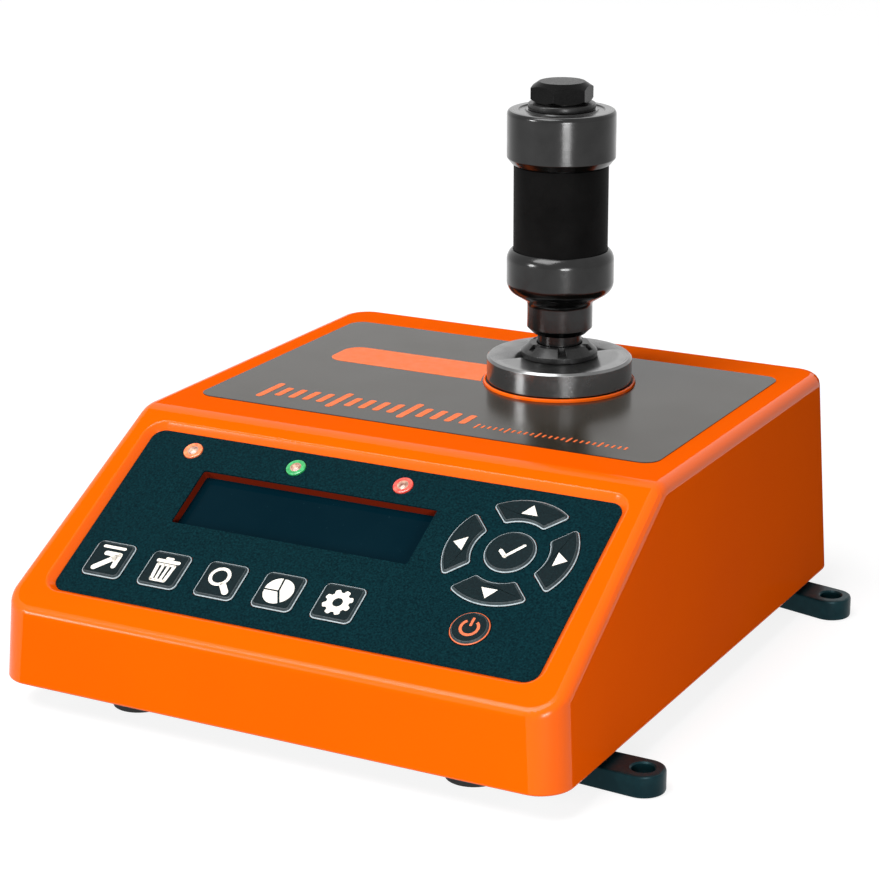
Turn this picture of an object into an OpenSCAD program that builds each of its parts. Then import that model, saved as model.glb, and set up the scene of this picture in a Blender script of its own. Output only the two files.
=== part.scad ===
// A bench torque tester: a wedge-shaped housing with its controls on the slope, a torque
// transducer that stands on the base plate, and a rundown adapter plugged into the transducer.
// The adapter simulates a bolted joint: its bolt squeezes a stack of disc springs.
// +X is the operator's right, +Y is away from the operator and +Z is up. The origin is on the
// desk, under the middle of the housing. Lengths are in millimetres, angles in degrees.

/* [Housing] */
// Width of the housing at its lower rim
housing_w = 180; // [174:1:200]
// Depth of the housing at its lower rim
housing_d = 205.4; // [200:0.2:225]
// Height of the housing from its lower rim to its top face
housing_h = 64.1; // [63.6:0.1:76]
// Wall of the housing
wall = 3; // [2:0.1:4]
// Radius of the upright corners
corner_r = 10; // [8:0.5:14]
// Radius along the edges of the slope and of the top
edge_r = 3.3; // [2:0.1:5]
// Radius of the bend from the slope to the top
bend_r = 12; // [8:0.5:14]
// Angle of the slope above the desk
slope_angle = 29.6; // [28:0.1:30]
// Lean of the side walls
side_draft = 3.5; // [0:0.1:5]
// Lean of the front wall
front_draft = 3.5; // [0:0.1:8]
// Lean of the rear wall
rear_draft = 0.8; // [0:0.1:4]
// Radius inside the corners of the cavity
cavity_r = 2; // [1:0.1:4]
// Radius of the columns that take the base screws
column_r = 5; // [4:0.1:6]
// Distance of those columns from the housing's sides, at their centres
column_side = 13; // [12:0.1:14]
// Distance of the outer columns from the front and rear walls, at their centres
column_end = 11; // [9:0.1:12]

/* [Base] */
// Height of the rubber feet, which carry the base plate
foot_h = 6.8; // [6:0.1:9]
// Radius of a foot
foot_r = 8; // [6:0.1:10]
// Distance of the feet from the plate's sides, at their centres
foot_side = 32; // [28:0.5:40]
// Distance of the feet from the plate's front and rear edges, at their centres
foot_end = 18; // [14:0.5:24]
// Thickness of the base plate
plate_t = 5; // [4:0.1:8]
// How far the plate stands out below the housing's rim
plate_drop = 1.5; // [0.5:0.1:3]
// Gap between the plate and the wall around it
plate_gap = 0.6; // [0.4:0.1:1.5]
// Radius of the base screws
base_screw_r = 2; // [1.5:0.1:2.5]
// Grip of the base screws in the columns
base_screw_grip = 10; // [6:0.5:12]

/* [Mounting lugs] */
// Thickness of a lug
lug_t = 6.5; // [4:0.1:6.6]
// Distance from a lug's pivot to the middle of its tip
lug_reach = 24; // [22:0.5:30]
// Radius of a lug's tip
lug_tip_r = 6.3; // [5:0.1:8]
// Radius of a lug's pivot end
lug_root_r = 5.8; // [5.4:0.1:8]
// Radius of the bolt hole in a lug's tip
lug_hole_r = 3.3; // [2.2:0.1:3.6]
// Chamfer at the ends of that hole
lug_hole_chamfer = 0.45; // [0.1:0.05:1]
// Radius of the pivot screws
pivot_r = 3; // [2:0.1:3.2]
// Distance of the pivots from the housing's sides
pivot_side = 15; // [13:0.5:18]
// Distance of the front pivots from the front wall
front_pivot_inset = 35.2; // [30:0.2:45]
// Distance of the rear pivots from the rear wall
rear_pivot_inset = 19.7; // [18:0.1:30]
// Angle at which the front lugs point forwards
front_lug_angle = 3; // [0:1:20]
// Angle at which the rear lugs point forwards
rear_lug_angle = 13; // [0:1:20]

/* [Control panel] */
// Width of the control overlay
overlay_w = 154.6; // [150:0.2:160]
// Height of the overlay, up the slope
overlay_h = 65.3; // [63:0.1:66]
// Thickness of the overlay
overlay_t = 0.5; // [0.3:0.1:0.8]
// Radius of the overlay's corners
overlay_corner_r = 4; // [2:0.5:8]
// Distance of the overlay's lower edge behind the foot of the front wall
overlay_inset = 11.7; // [11:0.1:14]
// Height of the overlay's lower edge above the rim
overlay_rise = 26.3; // [25:0.1:27]
// Depth of the overlay's face below the slope
pocket_depth = 2; // [1:0.1:3]
// How far the pocket's walls lean outwards over that depth
pocket_run = 1.8; // [0.5:0.1:2.5]
// Gap around the overlay in its seat
overlay_gap = 0.15; // [0.1:0.05:0.4]
// Thickness of the housing's floor under the overlay
floor_t = 2.5; // [2:0.1:3]
// Width of the display window
window_w = 78; // [74:0.5:80]
// Height of the display window
window_h = 21; // [18:0.5:22]
// Radius of the window's corners
window_corner_r = 0.8; // [0.3:0.1:2]
// Distance of the window from the overlay's left edge
window_inset = 23.7; // [22:0.1:26]
// Distance of the window above the overlay's lower edge
window_rise = 31.4; // [31:0.1:33]
// Radius of the result lamps
led_r = 3; // [2:0.1:3.4]
// Gap around each lamp
led_gap = 0.12; // [0.1:0.02:0.4]
// Height of a lamp's dome above the overlay
led_stand = 0.9; // [0.2:0.1:2]
// Distance of the first lamp from the overlay's left edge
led_inset = 16.3; // [14:0.1:18]
// Distance between the lamps
led_pitch = 35.6; // [33:0.1:37]
// Distance of the lamps above the overlay's lower edge
led_rise = 59; // [58.6:0.1:60]

/* [Keys] */
// Width of a square key
key_w = 13.1; // [10:0.1:14]
// Radius of a square key's corners
key_corner_r = 2; // [1:0.1:4]
// Distance between the square keys
key_pitch = 19.05; // [18:0.05:20]
// Distance of the first square key from the overlay's left edge
key_inset = 12.4; // [11.5:0.1:14]
// Distance of the square keys above the overlay's lower edge
key_rise = 13.7; // [12:0.1:14]
// Radius of the round confirm key
confirm_r = 7.5; // [6:0.1:8.5]
// Inner radius of the four arrow keys
arrow_inner_r = 11.3; // [10.8:0.1:12.5]
// Outer radius of the four arrow keys
arrow_outer_r = 19.6; // [17:0.1:20]
// Gap between neighbouring arrow keys
arrow_gap = 5.2; // [4:0.1:7]
// Radius of an arrow key's corners
arrow_corner_r = 1.2; // [0.5:0.1:2]
// Distance of the arrow keys' middle from the overlay's right edge
arrow_inset = 25.4; // [24:0.1:27]
// Distance of the arrow keys' middle above the overlay's lower edge
arrow_rise = 41.8; // [41:0.1:43]
// Radius of the power key
power_r = 5.75; // [4.5:0.05:6.5]
// Distance of the power key from the overlay's right edge
power_inset = 25.2; // [24:0.1:27]
// Travel of every key
key_travel = 0.5; // [0.2:0.05:0.8]
// Gap around every key
key_gap = 0.25; // [0.2:0.05:0.5]
// Height of a key's rim above the overlay
key_stand = 0.8; // [0.6:0.1:1.5]
// Width of a key's rim
key_rim_w = 0.7; // [0.4:0.1:1.2]
// Height of that rim above the key's face
key_rim_h = 0.4; // [0.1:0.1:0.5]
// Width of the flange that keeps a key under the panel
key_flange_w = 0.8; // [0.5:0.1:1.2]
// Thickness of that flange
key_flange_t = 1; // [0.6:0.1:1.5]
// Radius of the stem under a key
key_stem_r = 1.6; // [1:0.1:1.9]
// Length of that stem
key_stem_l = 1.8; // [1:0.1:2.5]

/* [Panel electronics] */
// Thickness of the display window
glass_t = 1.5; // [1:0.1:2]
// How far the window's glass overlaps the opening on each side
glass_lap = 0.9; // [0.5:0.1:1]
// Thickness of the display's cell
cell_t = 1.6; // [1:0.1:2]
// Thickness of each circuit board
board_t = 1.6; // [1:0.1:2]
// Border of the display's board around the opening, at its left and right
display_border_x = 5.9; // [5.7:0.1:6.1]
// Border of the display's board around the opening, at its top and bottom
display_border_y = 3; // [2.6:0.1:3.2]
// Radius of the panel's small screws
small_screw_r = 1; // [0.8:0.05:1.2]
// Radius of the posts that take those screws
small_post_r = 1.9; // [1.7:0.05:2]
// Inset of the display's screws from the ends of its board
display_screw_inset = 2.4; // [2.2:0.1:2.6]
// Height of a snap dome
dome_h = 0.4; // [0.3:0.05:0.6]
// Radius of a snap dome
dome_r = 3; // [2:0.1:4]
// Border between the keypad board's edge and the overlay's edge
keypad_border = 3; // [2:0.1:3.5]
// Gap between the keypad board's cut-out and the display's board
keypad_gap = 0.7; // [0.5:0.1:1]
// Width of the keypad's flat cable
keypad_ribbon_w = 16; // [8:0.5:18]
// Width of the display's flat cable
display_ribbon_w = 10; // [6:0.5:12]
// Thickness of the flat cables
ribbon_t = 0.8; // [0.4:0.1:1.2]

/* [Transducer] */
// Distance of the drive's axis from the housing's middle
drive_x = 16.4; // [10:0.2:22]
// Distance of the drive's axis from the foot of the rear wall
drive_inset = 52.75; // [48:0.05:56]
// Radius of the transducer's mounting flange
flange_r = 28; // [26:0.5:29]
// Thickness of that flange
flange_t = 8; // [6:0.5:10]
// Radius of the circle on which the transducer's screws lie
flange_screw_circle_r = 22.5; // [21.5:0.1:23]
// Radius of the transducer's screws
flange_screw_r = 2.5; // [2:0.1:3]
// Radius of the sensing section
sensing_r = 12.5; // [11:0.1:15]
// Radius of the transducer's neck
neck_r = 16; // [15.5:0.1:17]
// Length of that neck below its disc
neck_l = 18; // [14:0.5:22]
// Radius of the steel disc on top
disc_r = 22.55; // [21:0.05:24]
// Thickness of the disc
disc_t = 7.6; // [6:0.1:10]
// Chamfer along the disc's upper edge
disc_chamfer = 0.7; // [0.3:0.1:1.5]
// Gap between the housing's top and the disc
disc_gap = 1; // [0.8:0.1:2]
// Gap between the disc's edge and the hole that it passes through
disc_hole_gap = 0.35; // [0.2:0.05:1]
// Width of the raised lip around that hole
lip_w = 0.7; // [0.5:0.1:3]
// Height of the lip
lip_h = 0.9; // [0.3:0.1:1]
// Width of the square drive
square_w = 9.5; // [8:0.1:9.6]
// Depth of the square socket
square_depth = 12; // [11.5:0.1:14]
// Gap around the adapter's square in the socket
square_gap = 0.1; // [0.1:0.05:0.2]
// Thickness of the dust seal
seal_t = 3; // [2:0.1:4]
// Radius of the locking collar at its foot
collar_r = 11.8; // [11:0.1:14]
// Radius of the locking collar at its top
collar_top_r = 9.2; // [8.8:0.1:10]
// Height of the collar's upright foot
collar_foot_h = 1.7; // [1:0.1:3]
// Height of the whole collar
collar_h = 4.2; // [3.5:0.1:5]
// Number of notches around the collar
collar_notches = 6; // [4:1:8]
// Width of a notch
notch_w = 2.2; // [1:0.1:3]
// Depth of a notch
notch_depth = 1.5; // [0.5:0.1:2]

/* [Rundown adapter] */
// Length of the adapter's male square
male_l = 11; // [8:0.1:11.2]
// Radius of the lower neck
low_neck_r = 6.8; // [6.75:0.05:6.9]
// Length of the lower neck
low_neck_l = 7.4; // [6:0.1:10]
// Chamfer between the two necks
neck_chamfer = 1.9; // [1:0.1:2.5]
// Radius of the upper neck
high_neck_r = 10.1; // [9.5:0.1:11]
// Length of the upper neck
high_neck_l = 6.9; // [6:0.1:10]
// Radius of the cup
cup_r = 16.5; // [16.3:0.1:18]
// Angle of the cup's underside above level
cup_angle = 32; // [20:1:40]
// Radius where the cup's underside runs into the neck
cup_inner_fillet = 2.3; // [1:0.1:3]
// Radius where the cup's underside turns upwards
cup_outer_fillet = 4.2; // [2:0.1:5]
// Height of the cup's upright wall
cup_wall_h = 6.7; // [6:0.1:9]
// Radius along the cup's upper edge
cup_brim_fillet = 4.2; // [2:0.1:4.4]
// Width of the flat on the cup's brim
cup_brim_w = 0.4; // [0.2:0.1:0.8]
// Outer radius of the black sleeve
sleeve_r = 14.5; // [14:0.1:15]
// Wall of the sleeve
sleeve_wall = 1.7; // [1:0.1:2]
// Visible length of the sleeve above the cup
sleeve_l = 26.3; // [22:0.1:32]
// Depth of the sleeve's seat below the brim
sleeve_seat = 6.5; // [5:0.1:7.5]
// Running gap between the sleeve and the cap that slides over it
sleeve_fit = 0.08; // [0.04:0.01:0.1]
// Gap between the sleeve's top and the foot of the cap
cap_gap = 0.4; // [0.1:0.1:0.8]
// Outer radius of the cap
cap_r = 16.6; // [16:0.1:18]
// Height of the cap
cap_h = 16.5; // [14:0.1:20]
// Height of the chamfer at the foot of the cap
cap_foot_chamfer_h = 1.9; // [1:0.1:3]
// Radius at the foot of the cap, below its chamfer
cap_foot_r = 15.1; // [15:0.05:15.9]
// Radius along the cap's upper edge
cap_fillet = 1.6; // [0.5:0.1:3]
// How far the cap can be drawn down
squeeze = 2; // [0.5:0.1:3]
// Clear height above the sleeve when the cap is all the way down
cap_spare = 0.6; // [0.3:0.1:1]

/* [Bolt and springs] */
// Radius of the test bolt
bolt_r = 5; // [4:0.1:5]
// Length of the test bolt under its head
bolt_l = 65; // [60:0.5:66]
// Width of the bolt's hexagon across its flats
bolt_flats = 17; // [15:0.1:18]
// Height of the bolt's head
bolt_head_h = 6.4; // [5:0.1:7]
// Height of the round face under the hexagon
bolt_face_h = 0.4; // [0.2:0.1:0.6]
// Turn of the hexagon at rest, from +X
bolt_turn = 39; // [0:1:59]
// Running gap between the bolt and its thread
thread_fit = 0.05; // [0.02:0.01:0.1]
// Radius of the thrust washer
washer_r = 10.3; // [9.5:0.1:12]
// Thickness of the thrust washer
washer_t = 2; // [1.5:0.1:3]
// Rounding along the washer's rim
washer_fillet = 0.6; // [0.2:0.1:0.7]
// Outer radius of a disc spring
spring_r = 11.5; // [9:0.1:12]
// Radius of the hole in a disc spring
spring_hole_r = 5.2; // [5.1:0.05:6]
// Thickness of a disc spring
spring_t = 1.25; // [0.8:0.05:1.4]
// Number of disc springs in the stack
spring_count = 19; // [12:1:19]

/* [Electronics] */
// Gap between the main board and the battery holder in front of it
main_board_gap = 17.2; // [12:0.1:24]
// Width of the main board
main_board_w = 52; // [48:1:56]
// Gap between the main board and the columns at its left
main_board_side = 1.2; // [0.8:0.1:3]
// Gap between the main board and the rear wall
main_board_end = 6.5; // [5:0.1:9]
// Height of the main board's standoffs
standoff_h = 6; // [4:0.5:8]
// Radius of the standoffs
standoff_r = 3; // [2.5:0.1:4]
// Distance of the standoffs from the board's edges
standoff_inset = 4.5; // [4:0.1:6]
// Radius of the board's screws
board_screw_r = 1.5; // [1:0.1:2]
// Radius of a battery cell
cell_r = 9.2; // [7:0.1:9.5]
// Length of a battery cell
cell_l = 65; // [50:1:70]
// Wall of the battery holder
holder_wall = 1.6; // [1:0.1:2]
// Height of the battery holder
holder_h = 12; // [8:0.5:14]
// Gap around each cell in the holder
cell_gap = 0.3; // [0.2:0.1:0.6]
// Distance of the holder from the housing's left side
holder_side = 30; // [22:1:60]
// Distance of the holder from the foot of the front wall
holder_front = 34; // [30:1:40]
// Width of the data socket's mouth
usb_w = 8.6; // [8:0.1:10]
// Height of the data socket's mouth
usb_h = 8; // [7:0.1:9]
// Depth of the data socket's mouth
usb_depth = 9; // [6:0.5:12]
// Length of the data socket
usb_l = 16; // [14:0.5:20]
// Wall of the data socket
socket_wall = 1.4; // [1:0.1:2]
// Radius of the charger socket's bore
jack_r = 3; // [2.6:0.1:3.5]
// Radius of the pin inside that bore
jack_pin_r = 1; // [0.6:0.1:1.2]
// Depth of the charger socket's bore
jack_depth = 9.5; // [7:0.5:11]
// Length of the charger socket
jack_l = 14; // [12:0.5:18]
// Distance of the two sockets from the main board's left and right edges
socket_inset = 14; // [11:0.5:16]

/* [Top label] */
// Width of the top label
label_w = 152.8; // [140:0.2:160]
// Depth of the top label
label_d = 98.7; // [80:0.1:100]
// Thickness of the top label
label_t = 0.25; // [0.1:0.05:0.5]
// Radius of the label's corners
label_corner_r = 5; // [2:0.5:10]
// Distance of the label from the foot of the rear wall
label_inset = 17.7; // [15:0.1:22]
// Gap between the label and the lip around the drive
label_gap = 0.2; // [0.1:0.05:1]

/* [Hidden] */
// Overrun of every cut past the face that it goes through
over = 1;
// Smallest sheet used where a hull needs a thin end
sheet = 0.01;
// Gap between a screw and its hole, and between pieces that rest face to face
fit = 0.05;
// Gap between a shaft and a hole that only clears it
loose_fit = 0.3;
// Clear gap between pieces that move past each other
clear = 0.1;
// Facets of smooth solids inside a hull, of the round pieces, and of small arcs
hull_fn = 32;
cavity_fn = 16;
round_fn = 96;
arc_steps = 8;
$fn = round_fn;

// Levels of the base and of the housing
plate_z = foot_h;
plate_top = plate_z + plate_t;
rim_z = plate_z + plate_drop;
top_z = rim_z + housing_h;
label_z = top_z + label_t;
front_y = -housing_d / 2;
rear_y = housing_d / 2;
side_x = housing_w / 2;

// The housing's faces as lines in the YZ or XZ plane: an outward normal and its distance
slope_n = [-sin(slope_angle), cos(slope_angle)];
front_n = [-cos(front_draft), sin(front_draft)];
rear_n = [cos(rear_draft), sin(rear_draft)];
side_n = [cos(side_draft), sin(side_draft)];
top_n = [0, 1];
overlay_start = [front_y + overlay_inset, rim_z + overlay_rise];
slope_c = slope_n * overlay_start + pocket_depth;
front_c = front_n * [front_y, rim_z];
rear_c = rear_n * [rear_y, rim_z];
side_c = side_n * [side_x, rim_z];
slope_wall = pocket_depth + overlay_t + floor_t;

// The point where two lines of the housing's section meet
function meet(n1, c1, n2, c2) =
    let (turn = n1[0] * n2[1] - n1[1] * n2[0])
    [(c1 * n2[1] - c2 * n1[1]) / turn, (n1[0] * c2 - n2[0] * c1) / turn];
// How far a rounded disc reaches towards a face whose normal leans off the disc's axis
function reach(r, edge, lean_cos) = (r - edge) * sqrt(1 - lean_cos * lean_cos) + edge;
// Distance from the middle at which a body that reaches that far touches the side face
function touch_side(z, far) = (side_c - far - side_n[1] * z) / side_n[0];
// A point in the YZ plane, from its distance up the overlay and its height above the overlay
function panel_point(rise, height) =
    overlay_start + rise * [cos(slope_angle), sin(slope_angle)] + height * slope_n;
// Points along an arc
function arc(centre, r, from, to) =
    [for (i = [0:arc_steps]) let (a = from + (to - from) * i / arc_steps)
        centre + r * [cos(a), sin(a)]];
// The outline of a flat strip that follows a path
function strip_side(path, half) =
    [for (i = [0:len(path) - 1])
        let (into = path[max(i, 1)] - path[max(i, 1) - 1],
             out = path[min(i + 1, len(path) - 1)] - path[min(i, len(path) - 2)],
             along = into / norm(into) + out / norm(out),
             across = [-along[1], along[0]] / norm(along),
             widen = norm(along) / 2)
        path[i] + across * half / widen];
function backwards(points) = [for (i = [len(points) - 1:-1:0]) points[i]];

// Places on the panel, from the overlay's lower left corner to its middle
function from_left(inset) = inset - overlay_w / 2;
function from_right(inset) = overlay_w / 2 - inset;
window_mid = [from_left(window_inset) + window_w / 2, window_rise + window_h / 2];
arrow_mid = [from_right(arrow_inset), arrow_rise];
power_mid = [from_right(power_inset), key_rise];
function square_key_place(i) = [from_left(key_inset) + i * key_pitch, key_rise];
function led_place(i) = [from_left(led_inset) + i * led_pitch, led_rise];
arrow_turns = [90, 0, -90, 180];

// Heights in the panel's stack, along its normal from the overlay's face
floor_top = -overlay_t;
floor_under = floor_top - floor_t;
glass_under = floor_under - sheet - glass_t;
cell_top = glass_under - clear;
cell_under = cell_top - cell_t;
display_under = cell_under - board_t;
flange_top = floor_under - fit;
flange_under = flange_top - key_flange_t;
stem_end = flange_under - key_stem_l;
dome_top = stem_end - key_travel - clear / 2;
keypad_top = dome_top - dome_h;
keypad_under = keypad_top - board_t;

// Outlines of the panel's boards
display_board = [window_w + 2 * display_border_x, window_h + 2 * display_border_y];
display_screw_dx = display_board[0] / 2 - display_screw_inset;
display_screw_dy = display_board[1] / 2 - display_screw_inset;
display_screw_places = [for (sx = [-1, 1], sy = [-1, 1])
    window_mid + [sx * display_screw_dx, sy * display_screw_dy]];
keypad_cutout = display_board + 2 * [keypad_gap, keypad_gap];
keypad_w = overlay_w - 2 * keypad_border;
keypad_h = overlay_h - 2 * keypad_border;
key_row_top = key_rise + key_w / 2 + key_flange_w;
keypad_mid_rise = (key_row_top + window_mid[1] - keypad_cutout[1] / 2) / 2;
keypad_edge_x = keypad_w / 2 - small_post_r - clear;
keypad_edge_rise = keypad_border + keypad_h - small_post_r - clear;
keypad_screw_places = [
    [-keypad_edge_x, keypad_edge_rise],
    [keypad_edge_x, keypad_edge_rise],
    [-keypad_edge_x, keypad_mid_rise],
    [keypad_edge_x, keypad_mid_rise],
    [square_key_place(2.5)[0], keypad_mid_rise]
];
small_head_r = small_screw_r * 1.8;
small_head_h = small_screw_r * 1.1;
small_grip = small_screw_r * 1.9;

// Places on the base
plate_w = housing_w - 2 * (wall + plate_gap);
plate_d = housing_d - 2 * (wall + plate_gap);
plate_corner_r = corner_r - wall;
column_x = side_x - column_side;
column_y = housing_d / 2 - column_end;
column_places = [for (sx = [-1, 1], sy = [-1, 0, 1]) [sx * column_x, sy * column_y]];
base_head_r = base_screw_r * 1.75;
base_head_h = base_screw_r * 1.1;
foot_places = [for (sx = [-1, 1], sy = [-1, 1])
    [sx * (plate_w / 2 - foot_side), sy * (plate_d / 2 - foot_end)]];
foot_screw_r = foot_r / 4;
foot_head_r = foot_r * 0.45;
foot_head_h = foot_screw_r;
foot_floor = foot_h / 2;
lug_top = plate_z - clear;
lug_under = lug_top - lug_t;
pivot_x = side_x - pivot_side;
front_pivot = [pivot_x, front_y + front_pivot_inset];
rear_pivot = [pivot_x, rear_y - rear_pivot_inset];
pivot_head_r = pivot_r * 1.45;
pivot_head_h = pivot_r * 0.6;
pivot_head_z = lug_under + pivot_r * 0.2;

// Levels of the transducer, from the disc's top down
drive = [drive_x, rear_y - drive_inset];
disc_top = label_z + disc_gap + disc_t;
disc_under = disc_top - disc_t;
neck_under = disc_under - neck_l;
sensing_under = plate_top + flange_t;
seal_top = label_z + disc_gap / 2;
turret_hole_r = disc_r + disc_hole_gap;
flange_head_r = flange_screw_r * 1.7;
flange_head_h = flange_screw_r;
flange_grip = plate_t - over;
gauge_t = 0.35;
gauge_w = sensing_r * 0.56;
gauge_h = sensing_r * 0.8;
gauge_z = (sensing_under + neck_under) / 2;
collar_hole_r = low_neck_r + loose_fit;

// Levels of the adapter, from the disc's top up
adapter_z = disc_top + fit;
high_neck_z = adapter_z + low_neck_l;
cup_z = high_neck_z + neck_chamfer + high_neck_l;
cup_turn_sin = 1 - sin(cup_angle);
cup_turn_cos = cos(cup_angle);
cup_cone_l = (cup_r - high_neck_r - cup_turn_sin * (cup_inner_fillet + cup_outer_fillet))
    / cup_turn_cos;
cup_outer_z = cup_z + cup_cone_l * sin(cup_angle)
    + (cup_inner_fillet + cup_outer_fillet) * cup_turn_cos;
cup_shoulder = cup_outer_z + cup_wall_h;
sleeve_seat_r = sleeve_r + fit;
brim_r = sleeve_seat_r + cup_brim_w;
brim_arc_end = [cup_r - cup_brim_fillet * (1 - cos(45)), cup_shoulder + cup_brim_fillet * sin(45)];
brim_z = brim_arc_end[1] + max(0, brim_arc_end[0] - brim_r);
seat_z = brim_z - sleeve_seat;
sleeve_top = brim_z + sleeve_l;
cap_z = sleeve_top + cap_gap;
cap_top = cap_z + cap_h;
cap_bore_r = sleeve_r + sleeve_fit;
cap_ceiling = sleeve_top + squeeze + cap_spare;
washer_top = cap_top + washer_t;
head_z = washer_top + fit;
bolt_tip = head_z - bolt_l;
thread_end = bolt_tip - squeeze - over;
bolt_hole_r = bolt_r + loose_fit;
spring_pitch = (cap_ceiling - seat_z) / spring_count;
spring_cone = spring_pitch - spring_t - fit;

// Places of the battery, and of the main board behind it
holder_x = holder_side - side_x;
holder_y = front_y + holder_front;
holder_l = cell_l + 2 * (holder_wall + cell_gap);
holder_w = 4 * cell_r + 3 * cell_gap + 2 * holder_wall;
main_board_x = -column_x + column_r + main_board_side;
main_board_rear = rear_y - main_board_end;
main_board_front = holder_y + holder_w + main_board_gap;
main_board_l = main_board_rear - main_board_front;
main_board_z = plate_top + standoff_h;
main_board_top = main_board_z + board_t;
standoff_places = [for (fx = [0, 1], fy = [0, 1])
    [main_board_x + standoff_inset + fx * (main_board_w - 2 * standoff_inset),
     main_board_front + standoff_inset + fy * (main_board_l - 2 * standoff_inset)]];
board_head_r = board_screw_r * 1.8;
board_head_h = board_screw_r * 1.2;
connector_h = 6;
connector_d = 5;
connector_y = main_board_front + connector_d / 2 + 2 * standoff_inset;
connector_top = main_board_top + connector_h;
keypad_ribbon_x = main_board_x + main_board_w * 0.35;
display_ribbon_x = main_board_x + main_board_w * 0.8;
lead_connector_y = drive[1];
lead_connector_x = main_board_x + main_board_w - connector_d / 2 - over;
battery_connector_x = main_board_x + main_board_w / 2;
usb_x = main_board_x + socket_inset;
jack_x = main_board_x + main_board_w - socket_inset;
socket_face = rear_y - wall / 3;
usb_z = main_board_top + socket_wall + usb_h / 2;
jack_z = main_board_top + socket_wall + jack_r;
rear_cut_gap = 0.3;
cell_z = plate_top + holder_wall + cell_r + cell_gap;
function cell_y(i) = holder_y + holder_wall + cell_gap + cell_r + i * (2 * cell_r + cell_gap);
battery_lead_w = 4;

module on_panel(height = 0) {
    translate([0, overlay_start[0], overlay_start[1]])
        rotate([slope_angle, 0, 0])
            translate([0, 0, height])
                children();
}

module at_drive(z) {
    translate([drive[0], drive[1], z]) children();
}

module rounded_rect(size, r) {
    square([size[0], size[1] - 2 * r], center = true);
    square([size[0] - 2 * r, size[1]], center = true);
    for (sx = [-1, 1], sy = [-1, 1])
        translate([sx * (size[0] / 2 - r), sy * (size[1] / 2 - r)]) circle(r);
}

module ring(outer, inner, h) {
    difference() {
        cylinder(r = outer, h = h);
        translate([0, 0, -over]) cylinder(r = inner, h = h + 2 * over);
    }
}

// A screw with its head above z = 0, its shank below and a hexagon socket in its head
module screw(r, l, head_r, head_h) {
    translate([0, 0, -l]) cylinder(r = r, h = l);
    difference() {
        cylinder(r = head_r, h = head_h);
        translate([0, 0, head_h / 2]) cylinder(r = head_r / 2, h = head_h, $fn = 6);
    }
}

module screw_from_below(r, l, head_r, head_h) {
    mirror([0, 0, 1]) screw(r, l, head_r, head_h);
}

module rounded_disc(r, edge) {
    rotate_extrude($fn = hull_fn) translate([r - edge, 0]) circle(edge, $fn = hull_fn);
}

// A body and its mirror image, on the housing's two sides
module both_sides(x, point) {
    for (s = [-1, 1]) translate([s * x, point[0], point[1]]) children();
}

module housing_form() {
    front_disc = meet(slope_n, slope_c - edge_r,
        front_n, front_c - reach(corner_r, edge_r, front_n * slope_n));
    bend_disc = meet(slope_n, slope_c - bend_r, top_n, top_z - bend_r);
    rear_disc = meet(top_n, top_z - edge_r,
        rear_n, rear_c - reach(corner_r, edge_r, rear_n[1]));
    hull() {
        for (y = [front_y + corner_r, rear_y - corner_r])
            both_sides(side_x - corner_r, [y, rim_z])
                cylinder(r = corner_r, h = sheet, $fn = hull_fn);
        both_sides(touch_side(front_disc[1], reach(corner_r, edge_r, side_n[1] * slope_n[1])), front_disc)
            rotate([slope_angle, 0, 0]) rounded_disc(corner_r, edge_r);
        both_sides(touch_side(bend_disc[1], reach(bend_r, edge_r, side_n[0])), bend_disc)
            rotate([0, 90, 0]) rounded_disc(bend_r, edge_r);
        both_sides(touch_side(rear_disc[1], reach(corner_r, edge_r, side_n[1])), rear_disc)
            rounded_disc(corner_r, edge_r);
    }
}

module cavity_form() {
    skin = wall + cavity_r;
    front_ball = meet(slope_n, slope_c - slope_wall - cavity_r, front_n, front_c - skin);
    bend_ball = meet(slope_n, slope_c - slope_wall - cavity_r, top_n, top_z - skin);
    rear_ball = meet(top_n, top_z - skin, rear_n, rear_c - skin);
    hull() {
        for (y = [front_y + corner_r, rear_y - corner_r])
            both_sides(side_x - corner_r, [y, rim_z - over])
                cylinder(r = corner_r - wall, h = over, $fn = hull_fn);
        for (ball = [front_ball, bend_ball, rear_ball])
            both_sides(touch_side(ball[1], skin), ball) sphere(cavity_r, $fn = cavity_fn);
    }
}

// Posts under the panel's floor and columns under the top, with holes for their screws
module posts() {
    for (place = display_screw_places)
        on_panel(cell_under) translate(place) cylinder(r = small_post_r, h = floor_top - cell_under);
    for (place = keypad_screw_places)
        on_panel(keypad_top) translate(place) cylinder(r = small_post_r, h = floor_top - keypad_top);
    for (place = column_places)
        translate([place[0], place[1], plate_top]) cylinder(r = column_r, h = housing_h);
}

module post_holes() {
    for (place = display_screw_places)
        on_panel(cell_under - over) translate(place)
            cylinder(r = small_screw_r + fit, h = small_grip + over);
    for (place = keypad_screw_places)
        on_panel(keypad_top - over) translate(place)
            cylinder(r = small_screw_r + fit, h = small_grip + over);
    for (place = column_places)
        translate([place[0], place[1], plate_top - over])
            cylinder(r = base_screw_r + fit, h = base_screw_grip + 2 * over);
}

// The recess of the overlay: an upright seat, then walls that lean outwards to the slope
module pocket() {
    seat = [overlay_w, overlay_h] + 2 * [overlay_gap, overlay_gap];
    flare = pocket_run * (pocket_depth + over) / pocket_depth;
    seat_r = overlay_corner_r + overlay_gap;
    on_panel() translate([0, overlay_h / 2]) {
        translate([0, 0, floor_top]) linear_extrude(overlay_t + sheet) rounded_rect(seat, seat_r);
        hull() {
            linear_extrude(sheet) rounded_rect(seat, seat_r, $fn = hull_fn);
            translate([0, 0, pocket_depth + over]) linear_extrude(sheet)
                rounded_rect(seat + 2 * [flare, flare], seat_r + flare, $fn = hull_fn);
        }
    }
}

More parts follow.
